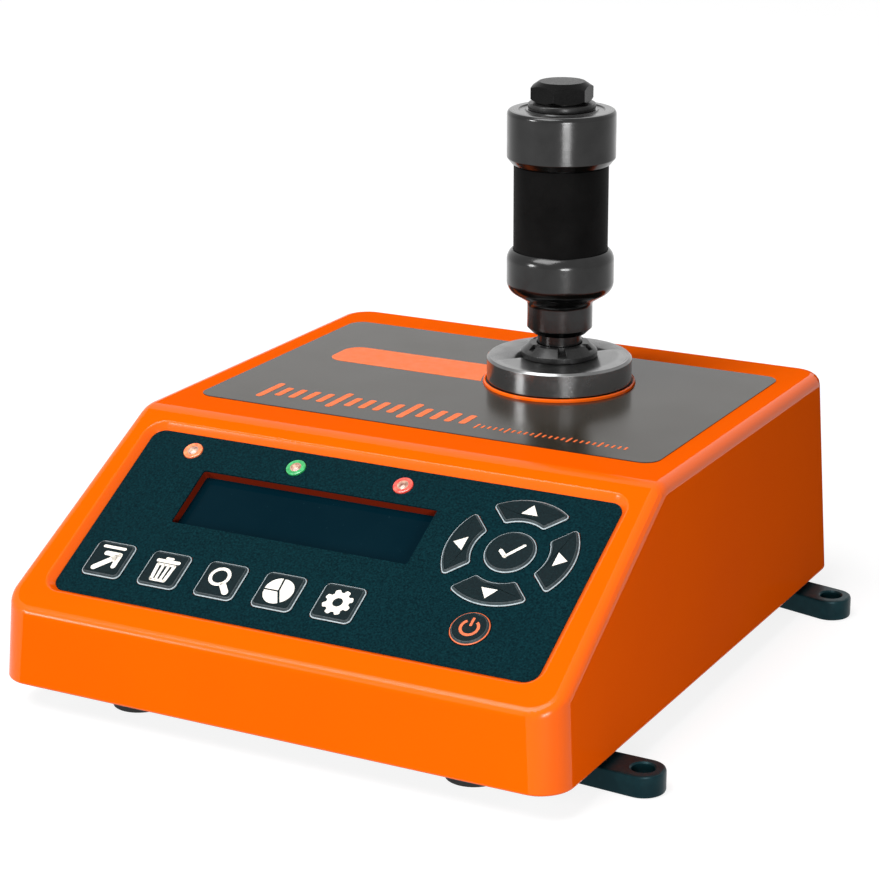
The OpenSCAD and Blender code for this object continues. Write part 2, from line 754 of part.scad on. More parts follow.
// The outline of one arrow key, pointing along +X, made larger by a gap
module arrow_outline(grow = 0) {
    inner = arrow_inner_r - grow;
    outer = arrow_outer_r + grow;
    r = arrow_corner_r + grow;
    edge = arrow_gap / 2 - grow + r;
    outer_turn = 45 - asin(edge / (outer - r));
    inner_turn = 45 - asin(edge / (inner + r));
    outer_corner = (outer - r) * [cos(outer_turn), sin(outer_turn)];
    inner_corner = (inner + r) * [cos(inner_turn), sin(inner_turn)];
    upper = concat(
        arc([0, 0], outer, 0, outer_turn),
        arc(outer_corner, r, outer_turn, 135),
        arc(inner_corner, r, 135, 180 + inner_turn),
        arc([0, 0], inner, inner_turn, 0));
    union() {
        polygon(upper);
        mirror([0, 1]) polygon(upper);
    }
}

module square_outline(grow = 0) {
    rounded_rect([key_w, key_w] + 2 * [grow, grow], key_corner_r + grow);
}

module round_outline(r, grow = 0) {
    circle(r + grow);
}

module key_holes() {
    for (i = [0:4]) translate(square_key_place(i)) square_outline(key_gap);
    for (turn = arrow_turns) translate(arrow_mid) rotate(turn) arrow_outline(key_gap);
    translate(arrow_mid) round_outline(confirm_r, key_gap);
    translate(power_mid) round_outline(power_r, key_gap);
}

module panel_holes() {
    key_holes();
    for (i = [0:2]) translate(led_place(i)) circle(led_r + led_gap);
    translate(window_mid) rounded_rect([window_w, window_h], window_corner_r);
}

module usb_outline(grow) {
    square([usb_w, usb_h] + 2 * [grow, grow], center = true);
}

module jack_outline(grow) {
    square(2 * [jack_r + grow, jack_r + grow], center = true);
}

// A flat outline, extruded forwards from a given level behind the housing
module from_rear(x, y, z, l) {
    translate([x, y, z]) rotate([90, 0, 0]) linear_extrude(l) children();
}

module housing() {
    color("darkorange") difference() {
        union() {
            housing_form();
            at_drive(top_z - wall) cylinder(r = turret_hole_r + lip_w, h = wall + label_t + lip_h);
        }
        difference() {
            cavity_form();
            posts();
        }
        post_holes();
        pocket();
        on_panel(floor_under - over) linear_extrude(floor_t + 2 * over) panel_holes();
        at_drive(top_z - wall - over)
            cylinder(r = turret_hole_r, h = wall + label_t + lip_h + 2 * over);
        from_rear(usb_x, rear_y + over, usb_z, 3 * wall)
            usb_outline(socket_wall + rear_cut_gap);
        from_rear(jack_x, rear_y + over, jack_z, 3 * wall)
            jack_outline(socket_wall + rear_cut_gap);
    }
}

module base_plate() {
    color("dimgray") difference() {
        translate([0, 0, plate_z]) linear_extrude(plate_t) rounded_rect([plate_w, plate_d], plate_corner_r);
        for (place = column_places) translate([place[0], place[1], plate_z]) {
            translate([0, 0, -over]) cylinder(r = base_screw_r + fit, h = plate_t + 2 * over);
            translate([0, 0, -over]) cylinder(r = base_head_r + fit, h = base_head_h + clear + fit + over);
        }
        for (place = foot_places) translate([place[0], place[1], plate_z - over])
            cylinder(r = foot_screw_r + fit, h = plate_t);
        for (pivot = [front_pivot, rear_pivot], s = [-1, 1])
            translate([s * pivot[0], pivot[1], plate_z - over]) cylinder(r = pivot_r + fit, h = plate_t);
        for (turn = [45:90:315]) at_drive(plate_z + over) rotate(turn)
            translate([flange_screw_circle_r, 0]) cylinder(r = flange_screw_r + fit, h = plate_t);
        for (place = standoff_places) translate([place[0], place[1], plate_top - plate_t / 2])
            cylinder(r = board_screw_r + fit, h = plate_t);
    }
}

module base_screws() {
    color("silver") for (place = column_places)
        translate([place[0], place[1], plate_z + base_head_h + clear])
            screw_from_below(base_screw_r, plate_t - base_head_h - clear + base_screw_grip,
                base_head_r, base_head_h);
}

module rubber_feet() {
    color("black") for (place = foot_places) translate([place[0], place[1], 0]) difference() {
        cylinder(r = foot_r, h = foot_h);
        translate([0, 0, -over]) cylinder(r = foot_head_r + clear, h = foot_floor + over);
        cylinder(r = foot_screw_r + fit, h = foot_h + over);
    }
}

module foot_screws() {
    color("silver") for (place = foot_places) translate([place[0], place[1], foot_floor])
        screw_from_below(foot_screw_r, foot_h - foot_floor + plate_t / 2, foot_head_r, foot_head_h);
}

// A lug that points along +X from its pivot at the origin
module lug() {
    lean = asin((lug_tip_r - lug_root_r) / lug_reach);
    root = lug_root_r * [-sin(lean), cos(lean)];
    tip = [lug_reach, 0] + lug_tip_r * [-sin(lean), cos(lean)];
    color("black") translate([0, 0, lug_under]) difference() {
        union() {
            cylinder(r = lug_root_r, h = lug_t);
            translate([lug_reach, 0]) cylinder(r = lug_tip_r, h = lug_t);
            linear_extrude(lug_t) polygon([root, tip, [tip[0], -tip[1]], [root[0], -root[1]]]);
        }
        translate([0, 0, -over]) cylinder(r = pivot_r + fit, h = lug_t + 2 * over);
        translate([0, 0, -over])
            cylinder(r = pivot_head_r + clear, h = over + pivot_head_z - lug_under + pivot_head_h + clear);
        translate([lug_reach, 0]) {
            translate([0, 0, -over]) cylinder(r = lug_hole_r, h = lug_t + 2 * over);
            translate([0, 0, lug_t - lug_hole_chamfer])
                cylinder(r1 = lug_hole_r, r2 = lug_hole_r + lug_hole_chamfer, h = lug_hole_chamfer);
            cylinder(r1 = lug_hole_r + lug_hole_chamfer, r2 = lug_hole_r, h = lug_hole_chamfer);
        }
    }
}

module lug_at(pivot, forwards, side) {
    mirror([side < 0 ? 1 : 0, 0, 0])
        translate([pivot[0], pivot[1], 0]) rotate(-forwards) lug();
}

module front_right_lug() { lug_at(front_pivot, front_lug_angle, 1); }
module front_left_lug() { lug_at(front_pivot, front_lug_angle, -1); }
module rear_right_lug() { lug_at(rear_pivot, rear_lug_angle, 1); }
module rear_left_lug() { lug_at(rear_pivot, rear_lug_angle, -1); }

module lug_screws() {
    color("silver") for (pivot = [front_pivot, rear_pivot], s = [-1, 1])
        translate([s * pivot[0], pivot[1], pivot_head_z + pivot_head_h])
            screw_from_below(pivot_r, plate_top - over - fit - pivot_head_z - pivot_head_h,
                pivot_head_r, pivot_head_h);
}

module top_label() {
    color("gray") translate([0, 0, top_z]) difference() {
        linear_extrude(label_t) translate([0, rear_y - label_inset - label_d / 2])
            rounded_rect([label_w, label_d], label_corner_r);
        translate([drive[0], drive[1], -over])
            cylinder(r = turret_hole_r + lip_w + label_gap, h = label_t + 2 * over);
    }
}

module control_overlay() {
    color("darkslategray") on_panel(floor_top) linear_extrude(overlay_t) difference() {
        translate([0, overlay_h / 2]) rounded_rect([overlay_w, overlay_h], overlay_corner_r);
        panel_holes();
    }
}

module display_window() {
    size = [window_w, window_h] + 2 * [glass_lap, glass_lap];
    color("teal", 0.4) on_panel(glass_under) translate(window_mid)
        linear_extrude(glass_t) square(size, center = true);
}

module display_module() {
    cell = [window_w, window_h] + [glass_lap, glass_lap];
    color("midnightblue") on_panel() difference() {
        translate(window_mid) {
            translate([0, 0, cell_under]) linear_extrude(cell_t) square(cell, center = true);
            translate([0, 0, display_under]) linear_extrude(board_t) square(display_board, center = true);
        }
        for (place = display_screw_places) translate([place[0], place[1], display_under - over])
            cylinder(r = small_screw_r + fit, h = board_t + 2 * over);
    }
}

module display_screws() {
    color("silver") for (place = display_screw_places) on_panel(display_under) translate(place)
        screw_from_below(small_screw_r, board_t + small_grip, small_head_r, small_head_h);
}

module keypad_board() {
    color("darkgreen") on_panel(keypad_under) linear_extrude(board_t) difference() {
        translate([0, overlay_h / 2]) square([keypad_w, keypad_h], center = true);
        translate(window_mid) square(keypad_cutout, center = true);
        for (place = keypad_screw_places) translate(place) circle(small_screw_r + fit);
    }
}

module keypad_screws() {
    color("silver") for (place = keypad_screw_places) on_panel(keypad_under) translate(place)
        screw_from_below(small_screw_r, board_t + small_grip, small_head_r, small_head_h);
}

// The places under the stems of all keys
arrow_stem_r = (arrow_inner_r + arrow_outer_r) / 2;
dome_places = concat(
    [for (i = [0:4]) square_key_place(i)],
    [for (turn = arrow_turns) arrow_mid + arrow_stem_r * [cos(turn), sin(turn)]],
    [arrow_mid, power_mid]);

module snap_domes() {
    color("silver") for (place = dome_places) on_panel(keypad_top) translate(place)
        cylinder(r1 = dome_r, r2 = dome_r / 2, h = dome_h);
}

// A key cap on its flange and stem: outline 0 is the cap, 1 is the face inside its rim and
// 2 is the flange
module key_cap(stem = [0, 0]) {
    face = key_stand - key_rim_h;
    translate([0, 0, flange_top - sheet]) linear_extrude(face - flange_top + sheet) children(0);
    translate([0, 0, face - sheet]) linear_extrude(key_rim_h + sheet) difference() {
        children(0);
        children(1);
    }
    translate([0, 0, flange_under]) linear_extrude(key_flange_t) children(2);
    translate([stem[0], stem[1], stem_end]) cylinder(r = key_stem_r, h = key_stem_l + sheet);
}

module square_key(i) {
    color("slategray") on_panel() translate(square_key_place(i)) key_cap() {
        square_outline();
        square_outline(-key_rim_w);
        square_outline(key_flange_w);
    }
}

module arrow_key(turn) {
    color("slategray") on_panel() translate(arrow_mid) rotate(turn) key_cap([arrow_stem_r, 0]) {
        arrow_outline();
        arrow_outline(-key_rim_w);
        arrow_outline(key_flange_w);
    }
}

module round_key(mid, r) {
    color("slategray") on_panel() translate(mid) key_cap() {
        round_outline(r);
        round_outline(r, -key_rim_w);
        round_outline(r, key_flange_w);
    }
}

module export_key() { square_key(0); }
module delete_key() { square_key(1); }
module view_key() { square_key(2); }
module statistics_key() { square_key(3); }
module settings_key() { square_key(4); }
module up_key() { arrow_key(arrow_turns[0]); }
module right_key() { arrow_key(arrow_turns[1]); }
module down_key() { arrow_key(arrow_turns[2]); }
module left_key() { arrow_key(arrow_turns[3]); }
module confirm_key() { round_key(arrow_mid, confirm_r); }
module power_key() { round_key(power_mid, power_r); }

// A lamp with a collar on the keypad board and a dome that stands above the overlay
module led(i) {
    ball_r = led_r * 1.25;
    ball_z = led_stand - ball_r;
    on_panel() translate(led_place(i)) {
        translate([0, 0, keypad_top]) cylinder(r = led_r + led_gap, h = -keypad_top + floor_under - clear);
        intersection() {
            translate([0, 0, keypad_top]) cylinder(r = led_r, h = led_stand - keypad_top);
            union() {
                translate([0, 0, ball_z]) sphere(ball_r);
                translate([0, 0, keypad_top]) cylinder(r = led_r, h = ball_z - keypad_top);
            }
        }
    }
}

module left_led() { color("tomato") led(0); }
module centre_led() { color("limegreen") led(1); }
module right_led() { color("red") led(2); }

// A flat cable that follows a path in the YZ plane
module ribbon_yz(x, w, path) {
    color("gainsboro") translate([x - w / 2, 0, 0]) rotate([90, 0, 90]) linear_extrude(w)
        polygon(concat(strip_side(path, ribbon_t / 2), backwards(strip_side(path, -ribbon_t / 2))));
}

module keypad_ribbon() {
    rise = keypad_border + keypad_h - 2 * small_post_r;
    ribbon_yz(keypad_ribbon_x, keypad_ribbon_w, [
        panel_point(rise, keypad_under),
        panel_point(rise, keypad_under - connector_h),
        [connector_y, connector_top + 2 * connector_h],
        [connector_y, connector_top]]);
}

module display_ribbon() {
    rise = window_rise + window_h / 4;
    ribbon_yz(display_ribbon_x, display_ribbon_w, [
        panel_point(rise, display_under),
        panel_point(rise, display_under - connector_h),
        [connector_y - connector_h, connector_top + connector_h],
        [connector_y, connector_top + connector_h / 2],
        [connector_y, connector_top]]);
}

module transducer_body() {
    socket = square_w + 2 * square_gap;
    color("lightgray") at_drive(0) difference() {
        union() {
            translate([0, 0, plate_top]) cylinder(r = flange_r, h = flange_t);
            translate([0, 0, sensing_under]) cylinder(r = sensing_r, h = neck_under - sensing_under);
            translate([0, 0, neck_under]) cylinder(r = neck_r, h = disc_under - neck_under);
            translate([0, 0, disc_under]) cylinder(r = disc_r, h = disc_t - disc_chamfer);
            translate([0, 0, disc_top - disc_chamfer])
                cylinder(r1 = disc_r, r2 = disc_r - disc_chamfer, h = disc_chamfer);
        }
        translate([-socket / 2, -socket / 2, disc_top - square_depth])
            cube([socket, socket, square_depth + over]);
        for (turn = [45:90:315]) rotate(turn) translate([flange_screw_circle_r, 0, plate_top - over])
            cylinder(r = flange_screw_r + fit, h = flange_t + 2 * over);
    }
}

module transducer_screws() {
    color("dimgray") at_drive(sensing_under) for (turn = [45:90:315]) rotate(turn)
        translate([flange_screw_circle_r, 0])
            screw(flange_screw_r, flange_t + plate_t - over - fit, flange_head_r, flange_head_h);
}

module strain_gauges() {
    color("goldenrod") at_drive(gauge_z - gauge_h / 2) for (turn = [0:90:270]) rotate(turn) intersection() {
        ring(sensing_r + gauge_t, sensing_r, gauge_h);
        translate([0, -gauge_w / 2, 0]) cube([sensing_r + gauge_t + over, gauge_w, gauge_h]);
    }
}

// The gauges' cable, in the XZ plane, from the left gauge down to the main board
module transducer_lead() {
    start_x = drive[0] - sensing_r - gauge_t;
    path = [
        [start_x, gauge_z],
        [start_x - 2 * connector_h, gauge_z],
        [lead_connector_x, connector_top + connector_h],
        [lead_connector_x, connector_top]];
    color("gainsboro") translate([0, lead_connector_y + gauge_w / 2, 0]) rotate([90, 0, 0])
        linear_extrude(gauge_w)
            polygon(concat(strip_side(path, ribbon_t / 2), backwards(strip_side(path, -ribbon_t / 2))));
}

module dust_seal() {
    color("black") at_drive(seal_top - seal_t) ring(turret_hole_r - clear, neck_r + fit, seal_t);
}

module locking_collar() {
    color("dimgray") at_drive(disc_top) difference() {
        union() {
            cylinder(r = collar_r, h = collar_foot_h);
            translate([0, 0, collar_foot_h])
                cylinder(r1 = collar_r, r2 = collar_top_r, h = collar_h - collar_foot_h);
        }
        translate([0, 0, -over]) cylinder(r = collar_hole_r, h = collar_h + 2 * over);
        for (i = [0:collar_notches - 1]) rotate(i * 360 / collar_notches)
            translate([(collar_hole_r + collar_top_r) / 2, -notch_w / 2, collar_h - notch_depth])
                cube([collar_r, notch_w, notch_depth + over]);
    }
}

module adapter_cup() {
    outside = concat(
        [[0, adapter_z], [low_neck_r, adapter_z], [low_neck_r, high_neck_z],
         [high_neck_r - neck_chamfer, high_neck_z], [high_neck_r, high_neck_z + neck_chamfer]],
        arc([high_neck_r + cup_inner_fillet, cup_z], cup_inner_fillet, 180, 90 + cup_angle),
        arc([cup_r - cup_outer_fillet, cup_outer_z], cup_outer_fillet, cup_angle - 90, 0),
        arc([cup_r - cup_brim_fillet, cup_shoulder], cup_brim_fillet, 0, 45),
        [[brim_r, brim_z], [0, brim_z]]);
    color("gray") {
        at_drive(0) difference() {
            rotate_extrude() polygon(outside);
            translate([0, 0, seat_z]) cylinder(r = sleeve_seat_r, h = sleeve_seat + over);
            translate([0, 0, thread_end]) cylinder(r = bolt_r + thread_fit, h = seat_z - thread_end + over);
        }
        at_drive(adapter_z - male_l) translate([-square_w / 2, -square_w / 2, 0])
            cube([square_w, square_w, male_l + fit]);
    }
}

module adapter_sleeve() {
    color("black") at_drive(seat_z) ring(sleeve_r, sleeve_r - sleeve_wall, sleeve_top - seat_z);
}

// Cupped washers, turned about in turn, between the floor of the cup and the cap
module disc_springs() {
    section = [[spring_hole_r, spring_cone], [spring_r, 0],
        [spring_r, spring_t], [spring_hole_r, spring_cone + spring_t]];
    flat = [for (point = section) [point[0], spring_cone + spring_t - point[1]]];
    color("silver") for (i = [0:spring_count - 1]) at_drive(seat_z + fit / 2 + i * spring_pitch)
        rotate_extrude() polygon(i % 2 == 0 ? section : backwards(flat));
}

module adapter_cap() {
    outside = concat(
        [[0, cap_z], [cap_foot_r, cap_z], [cap_r, cap_z + cap_foot_chamfer_h]],
        arc([cap_r - cap_fillet, cap_top - cap_fillet], cap_fillet, 0, 90),
        [[0, cap_top]]);
    color("gray") at_drive(0) difference() {
        rotate_extrude() polygon(outside);
        translate([0, 0, cap_z - over]) cylinder(r = cap_bore_r, h = cap_ceiling - cap_z + over);
        translate([0, 0, cap_z]) cylinder(r = bolt_hole_r, h = cap_h + over);
    }
}

module thrust_washer() {
    r = washer_r - washer_fillet;
    outside = concat(
        [[bolt_hole_r, 0], [r, 0]],
        arc([r, washer_fillet], washer_fillet, -90, 0),
        arc([r, washer_t - washer_fillet], washer_fillet, 0, 90),
        [[bolt_hole_r, washer_t]]);
    color("dimgray") at_drive(cap_top) rotate_extrude() polygon(outside);
}

module test_bolt() {
    corner = bolt_flats / 2 / cos(30);
    crown = bolt_head_h * 0.12;
    color("black") at_drive(head_z) {
        translate([0, 0, -bolt_l]) cylinder(r = bolt_r, h = bolt_l + bolt_face_h);
        cylinder(r = bolt_flats / 2 - bolt_face_h, h = bolt_face_h);
        intersection() {
            rotate(bolt_turn) translate([0, 0, bolt_face_h])
                cylinder(r = corner, h = bolt_head_h - bolt_face_h, $fn = 6);
            union() {
                cylinder(r = corner, h = bolt_head_h - crown);
                translate([0, 0, bolt_head_h - crown])
                    cylinder(r1 = corner, r2 = corner - 2 * crown, h = crown);
            }
        }
    }
}

module main_board() {
    color("darkgreen") difference() {
        translate([main_board_x, main_board_front, main_board_z]) cube([main_board_w, main_board_l, board_t]);
        for (place = standoff_places) translate([place[0], place[1], main_board_z - over])
            cylinder(r = board_screw_r + fit, h = board_t + 2 * over);
    }
}

// A block that stands on the main board, placed by the middle of its footprint
module on_board(x, y, size) {
    translate([x - size[0] / 2, y - size[1] / 2, main_board_top]) cube(size);
}

module board_components() {
    chip = main_board_w / 4;
    chip_h = board_t;
    chip_x = main_board_x + main_board_w / 2;
    coil = main_board_w / 6;
    color("darkslategray") {
        on_board(keypad_ribbon_x, connector_y, [keypad_ribbon_w, connector_d, connector_h]);
        on_board(display_ribbon_x, connector_y, [display_ribbon_w, connector_d, connector_h]);
        on_board(lead_connector_x, lead_connector_y, [connector_d, gauge_w, connector_h]);
        on_board(battery_connector_x, main_board_front + connector_d / 2,
            [battery_lead_w, connector_d / 2, connector_h]);
        on_board(chip_x, connector_y + chip * 1.5, [chip, chip, chip_h]);
        on_board(chip_x, connector_y + chip * 3.2, [chip / 2, chip, chip_h]);
        for (i = [0:2]) on_board(main_board_x + (i + 1) * coil * 1.4, main_board_rear - main_board_l * 0.3,
            [coil, coil, connector_h]);
    }
}

module board_standoffs() {
    color("goldenrod") for (place = standoff_places) translate([place[0], place[1], plate_top])
        ring(standoff_r, board_screw_r + fit, standoff_h);
}

module board_screws() {
    color("silver") for (place = standoff_places) translate([place[0], place[1], main_board_top])
        screw(board_screw_r, board_t + standoff_h + plate_t / 2 - fit, board_head_r, board_head_h);
}

module battery_holder() {
    color("black") translate([holder_x, holder_y, plate_top]) difference() {
        cube([holder_l, holder_w, holder_h]);
        translate([holder_wall, holder_wall, holder_wall])
            cube([holder_l - 2 * holder_wall, holder_w - 2 * holder_wall, holder_h]);
    }
}

module battery_cells() {
    color("steelblue") for (i = [0, 1])
        translate([holder_x + holder_wall + cell_gap, cell_y(i), cell_z]) rotate([0, 90, 0])
            cylinder(r = cell_r, h = cell_l);
}

// The cells' cable, in the YZ plane, from the holder's rear wall up to the main board
module battery_lead() {
    start = [holder_y + holder_w, plate_top + holder_h / 2];
    end_y = main_board_front + connector_d / 2;
    ribbon_yz(battery_connector_x, battery_lead_w, [
        start,
        start + [connector_d, 0],
        [end_y - connector_d, connector_top + connector_d],
        [end_y, connector_top + connector_d],
        [end_y, connector_top]]);
}

module usb_socket() {
    color("silver") difference() {
        from_rear(usb_x, socket_face, usb_z, usb_l) usb_outline(socket_wall);
        from_rear(usb_x, socket_face + over, usb_z, usb_depth + over) usb_outline(0);
    }
}

module charger_socket() {
    color("black") {
        difference() {
            from_rear(jack_x, socket_face, jack_z, jack_l) jack_outline(socket_wall);
            from_rear(jack_x, socket_face + over, jack_z, jack_depth + over) circle(jack_r);
        }
        from_rear(jack_x, socket_face - over, jack_z, jack_l - over) circle(jack_pin_r);
    }
}

housing();
base_plate();
base_screws();
rubber_feet();
foot_screws();
front_right_lug();
front_left_lug();
rear_right_lug();
rear_left_lug();
lug_screws();
top_label();
control_overlay();
display_window();
display_module();
display_screws();
keypad_board();
keypad_screws();
snap_domes();
export_key();
delete_key();
view_key();
statistics_key();
settings_key();
up_key();
right_key();
down_key();
left_key();
confirm_key();
power_key();
left_led();
centre_led();
right_led();
keypad_ribbon();
display_ribbon();
transducer_body();
transducer_screws();
strain_gauges();
transducer_lead();
dust_seal();
locking_collar();
adapter_cup();
adapter_sleeve();
disc_springs();
adapter_cap();
thrust_washer();
test_bolt();
main_board();
board_components();
board_standoffs();
board_screws();
battery_cells();
battery_holder();
battery_lead();
usb_socket();
charger_socket();
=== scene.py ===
from math import asin, atan2, cos, hypot, pi, radians, sin, sqrt, tan

import bmesh
import bpy
from mathutils import Matrix, Vector


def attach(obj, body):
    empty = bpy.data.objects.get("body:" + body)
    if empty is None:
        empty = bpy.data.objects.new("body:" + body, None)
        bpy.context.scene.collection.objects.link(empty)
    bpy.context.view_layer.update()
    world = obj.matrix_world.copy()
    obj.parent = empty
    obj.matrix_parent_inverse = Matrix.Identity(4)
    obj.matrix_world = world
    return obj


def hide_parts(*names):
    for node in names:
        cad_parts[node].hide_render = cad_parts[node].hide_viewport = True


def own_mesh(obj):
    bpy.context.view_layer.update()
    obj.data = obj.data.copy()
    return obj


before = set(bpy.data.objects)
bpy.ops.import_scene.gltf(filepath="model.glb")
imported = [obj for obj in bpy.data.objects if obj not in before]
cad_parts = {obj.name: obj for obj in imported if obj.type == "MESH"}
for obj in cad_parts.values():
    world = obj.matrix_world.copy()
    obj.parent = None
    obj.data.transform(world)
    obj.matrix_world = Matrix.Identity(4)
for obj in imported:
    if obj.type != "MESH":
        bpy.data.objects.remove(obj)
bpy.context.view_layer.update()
mm = 0.001
print("frame loaded:", len(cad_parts), "nodes")


# Shader wires: sums on a wire add Math nodes
class Wire:
    def __init__(self, tree, socket):
        self.tree = tree
        self.socket = socket

    def combine(self, operation, other):
        return addNode(self.tree, "ShaderNodeMath", {"operation": operation}, {0: self, 1: other})[0]

    def __add__(self, other):
        return self.combine("ADD", other)

    def __sub__(self, other):
        return self.combine("SUBTRACT", other)

    def __mul__(self, other):
        return self.combine("MULTIPLY", other)


class Outputs:
    def __init__(self, tree, node):
        self.tree = tree
        self.node = node

    def __getitem__(self, key):
        return Wire(self.tree, self.node.outputs[key])


def addNode(tree, kind, settings=None, sockets=None):
    # settings come first, because some of them change the sockets
    node = tree.nodes.new(kind)
    for name, value in (settings or {}).items():
        setattr(node, name, value)
    for key, value in (sockets or {}).items():
        if isinstance(value, Wire):
            tree.links.new(value.socket, node.inputs[key])
        else:
            node.inputs[key].default_value = value
    return Outputs(tree, node)


class Finish:
    # a material with one Principled shader, filled in by the finish functions below
    def __init__(self, name, **sockets):
        self.material = bpy.data.materials.new(name)
        self.material.use_nodes = True
        self.tree = self.material.node_tree
        self.shader = self.tree.nodes["Principled BSDF"]
        self.place = self.add("ShaderNodeTexCoord")["Object"]
        for key, value in sockets.items():
            self.put(key, value)

    def add(self, kind, settings=None, sockets=None):
        return addNode(self.tree, kind, settings, sockets)

    def put(self, key, value):
        socket = self.shader.inputs[key.replace("_", " ")]
        if isinstance(value, Wire):
            self.tree.links.new(value.socket, socket)
        else:
            socket.default_value = value

    def noise(self, size, detail=3.0, place=None):
        # size is the width of the noise's blotches
        return self.add("ShaderNodeTexNoise", None, {
            "Vector": place or self.place, "Scale": 1 / size, "Detail": detail, "Roughness": 0.55})[0]

    def range(self, value, low, high, fromLow=0.3, fromHigh=0.7):
        return self.add("ShaderNodeMapRange", {"clamp": True}, {
            "Value": value, "From Min": fromLow, "From Max": fromHigh, "To Min": low, "To Max": high})[0]

    def mix(self, share, first, second):
        return self.add("ShaderNodeMix", {"data_type": "RGBA"}, {0: share, 6: first, 7: second})[2]

    def bump(self, height, distance, strength):
        return self.add("ShaderNodeBump", None, {
            "Height": height, "Distance": distance, "Strength": strength})[0]

    def stretched(self, centre, scale):
        # the place on the piece, seen from centre and scaled along each axis
        moved = self.add("ShaderNodeVectorMath", {"operation": "SUBTRACT"}, {0: self.place, 1: centre})[0]
        return self.add("ShaderNodeMapping", None, {"Vector": moved, "Scale": scale})[0]


def rgb(red, green, blue):
    # a colour as it shows on screen, turned into light
    def light(level):
        level = level / 255
        return level / 12.92 if level <= 0.04045 else ((level + 0.055) / 1.055) ** 2.4
    return (light(red), light(green), light(blue), 1)


def grey(level):
    return (level, level, level, 1)


def paintFinish(name, colour, deep, roughness, gloss):
    # smooth moulded paint: a little mottling, a fine orange peel and a thin clear coat
    f = Finish(name, Coat_Roughness=0.1, Specular_IOR_Level=gloss)
    mottle = f.noise(0.05, 2)
    speck = f.noise(0.0006, 2)
    f.put("Base Color", f.mix(f.range(mottle, 0, 1), colour, deep))
    f.put("Roughness", f.range(speck, roughness - 0.03, roughness + 0.04))
    f.put("Coat Weight", f.range(mottle, 0.005, 0.015))
    f.put("Normal", f.bump(f.noise(0.0016, 3), 0.00002, 0.35))
    return f.material


def filmFinish(name, colour, light, roughness, grain, depth, gloss=0.06):
    # printed film with a fine grain
    f = Finish(name, Specular_IOR_Level=gloss)
    speck = f.noise(grain, 3)
    cloud = f.noise(0.03, 3)
    f.put("Base Color", f.mix(f.range(speck, 0, 1, 0.35, 0.72), colour, light))
    f.put("Roughness", f.range(cloud, roughness - 0.03, roughness + 0.05))
    f.put("Normal", f.bump(speck, depth, 0.8))
    return f.material


def inkFinish(name, colour, worn):
    f = Finish(name, Specular_IOR_Level=0.4)
    speck = f.noise(0.0008, 4)
    f.put("Base Color", f.mix(f.range(speck, 0, 1, 0.45, 0.75), colour, worn))
    f.put("Roughness", f.range(f.noise(0.003), 0.42, 0.55))
    f.put("Normal", f.bump(speck, 0.00001, 0.5))
    return f.material


def turnedFinish(name, colour, dark, roughness, centre, groove=0.00016):
    # steel turned in a lathe: grooves run round the axis through centre
    f = Finish(name, Metallic=1.0)
    rings = f.noise(groove, 2, f.stretched(centre, (0.02, 0.02, 1)))
    blotch = f.noise(0.006, 5)
    smear = f.noise(0.0012, 3)
    f.put("Base Color", f.mix(f.range(blotch, 0, 1), colour, dark))
    f.put("Roughness", f.range(blotch, roughness - 0.05, roughness + 0.07) + f.range(smear, 0, 0.04))
    f.put("Normal", f.bump(rings, 0.000012, 0.6))
    return f.material


def facedFinish(name, colour, dark, roughness, centre):
    # a faced steel top: fine circles about the axis through centre
    f = Finish(name, Metallic=1.0)
    flat = f.stretched(centre, (1, 1, 0))
    far = f.add("ShaderNodeVectorMath", {"operation": "LENGTH"}, {0: flat})["Value"]
    wave = f.noise(1, 2, f.add("ShaderNodeCombineXYZ", None, {0: far * 6500})[0])
    blotch = f.noise(0.005, 5)
    f.put("Base Color", f.mix(f.range(blotch, 0, 1), colour, dark))
    f.put("Roughness", f.range(wave, roughness - 0.05, roughness + 0.08))
    f.put("Normal", f.bump(wave, 0.00001, 0.6))
    return f.material


def plainFinish(name, colour, shade, roughness, grain=0.0007, detail=3, blotch=(0.008, 3), share=(0.3, 0.7),
                relief=(0.00002, 0.3), metal=0.0, gloss=0.4):
    # plastic, rubber or coated steel: blotches of a second colour, and a speck that roughens
    f = Finish(name, Metallic=metal, Specular_IOR_Level=gloss)
    speck = f.noise(grain, detail)
    f.put("Base Color", f.mix(f.range(f.noise(*blotch), 0, 1, *share), colour, shade))
    f.put("Roughness", f.range(speck, *roughness))
    f.put("Normal", f.bump(speck, *relief))
    return f.material


def plasticFinish(name, colour, shade, roughness, gloss=0.4):
    return plainFinish(name, colour, shade, (roughness - 0.04, roughness + 0.06), gloss=gloss)


def blackSteelFinish(name, colour, worn, roughness, grain=0.0005, metal=0.7, gloss=0.15):
    return plainFinish(name, colour, worn, (roughness - 0.06, roughness + 0.08), grain, 4, (0.008, 4),
                       (0.4, 0.8), (0.00002, 0.4), metal, gloss)


def lampFinish(name, colour, glow):
    # tinted lens of a lamp, a little lit from inside
    f = Finish(name, Specular_IOR_Level=0.5, Emission_Strength=0.1, Coat_Roughness=0.04)
    swirl = f.noise(0.0012, 2)
    f.put("Base Color", f.mix(f.range(swirl, 0, 1), colour, glow))
    f.put("Emission Color", f.mix(f.range(swirl, 0, 1), colour, glow))
    f.put("Roughness", f.range(swirl, 0.12, 0.2))
    f.put("Coat Weight", f.range(swirl, 0.4, 0.6))
    return f.material


def glassFinish(name, colour, dust):
    f = Finish(name, Specular_IOR_Level=0.015)
    fleck = f.noise(0.0009, 6)
    haze = f.noise(0.03, 3)
    share = f.range(fleck, 0, 1, 0.68, 0.76) * 0.5 + f.range(haze, 0, 0.08)
    f.put("Base Color", f.mix(share, colour, dust))
    f.put("Roughness", f.range(haze, 0.06, 0.14))
    return f.material


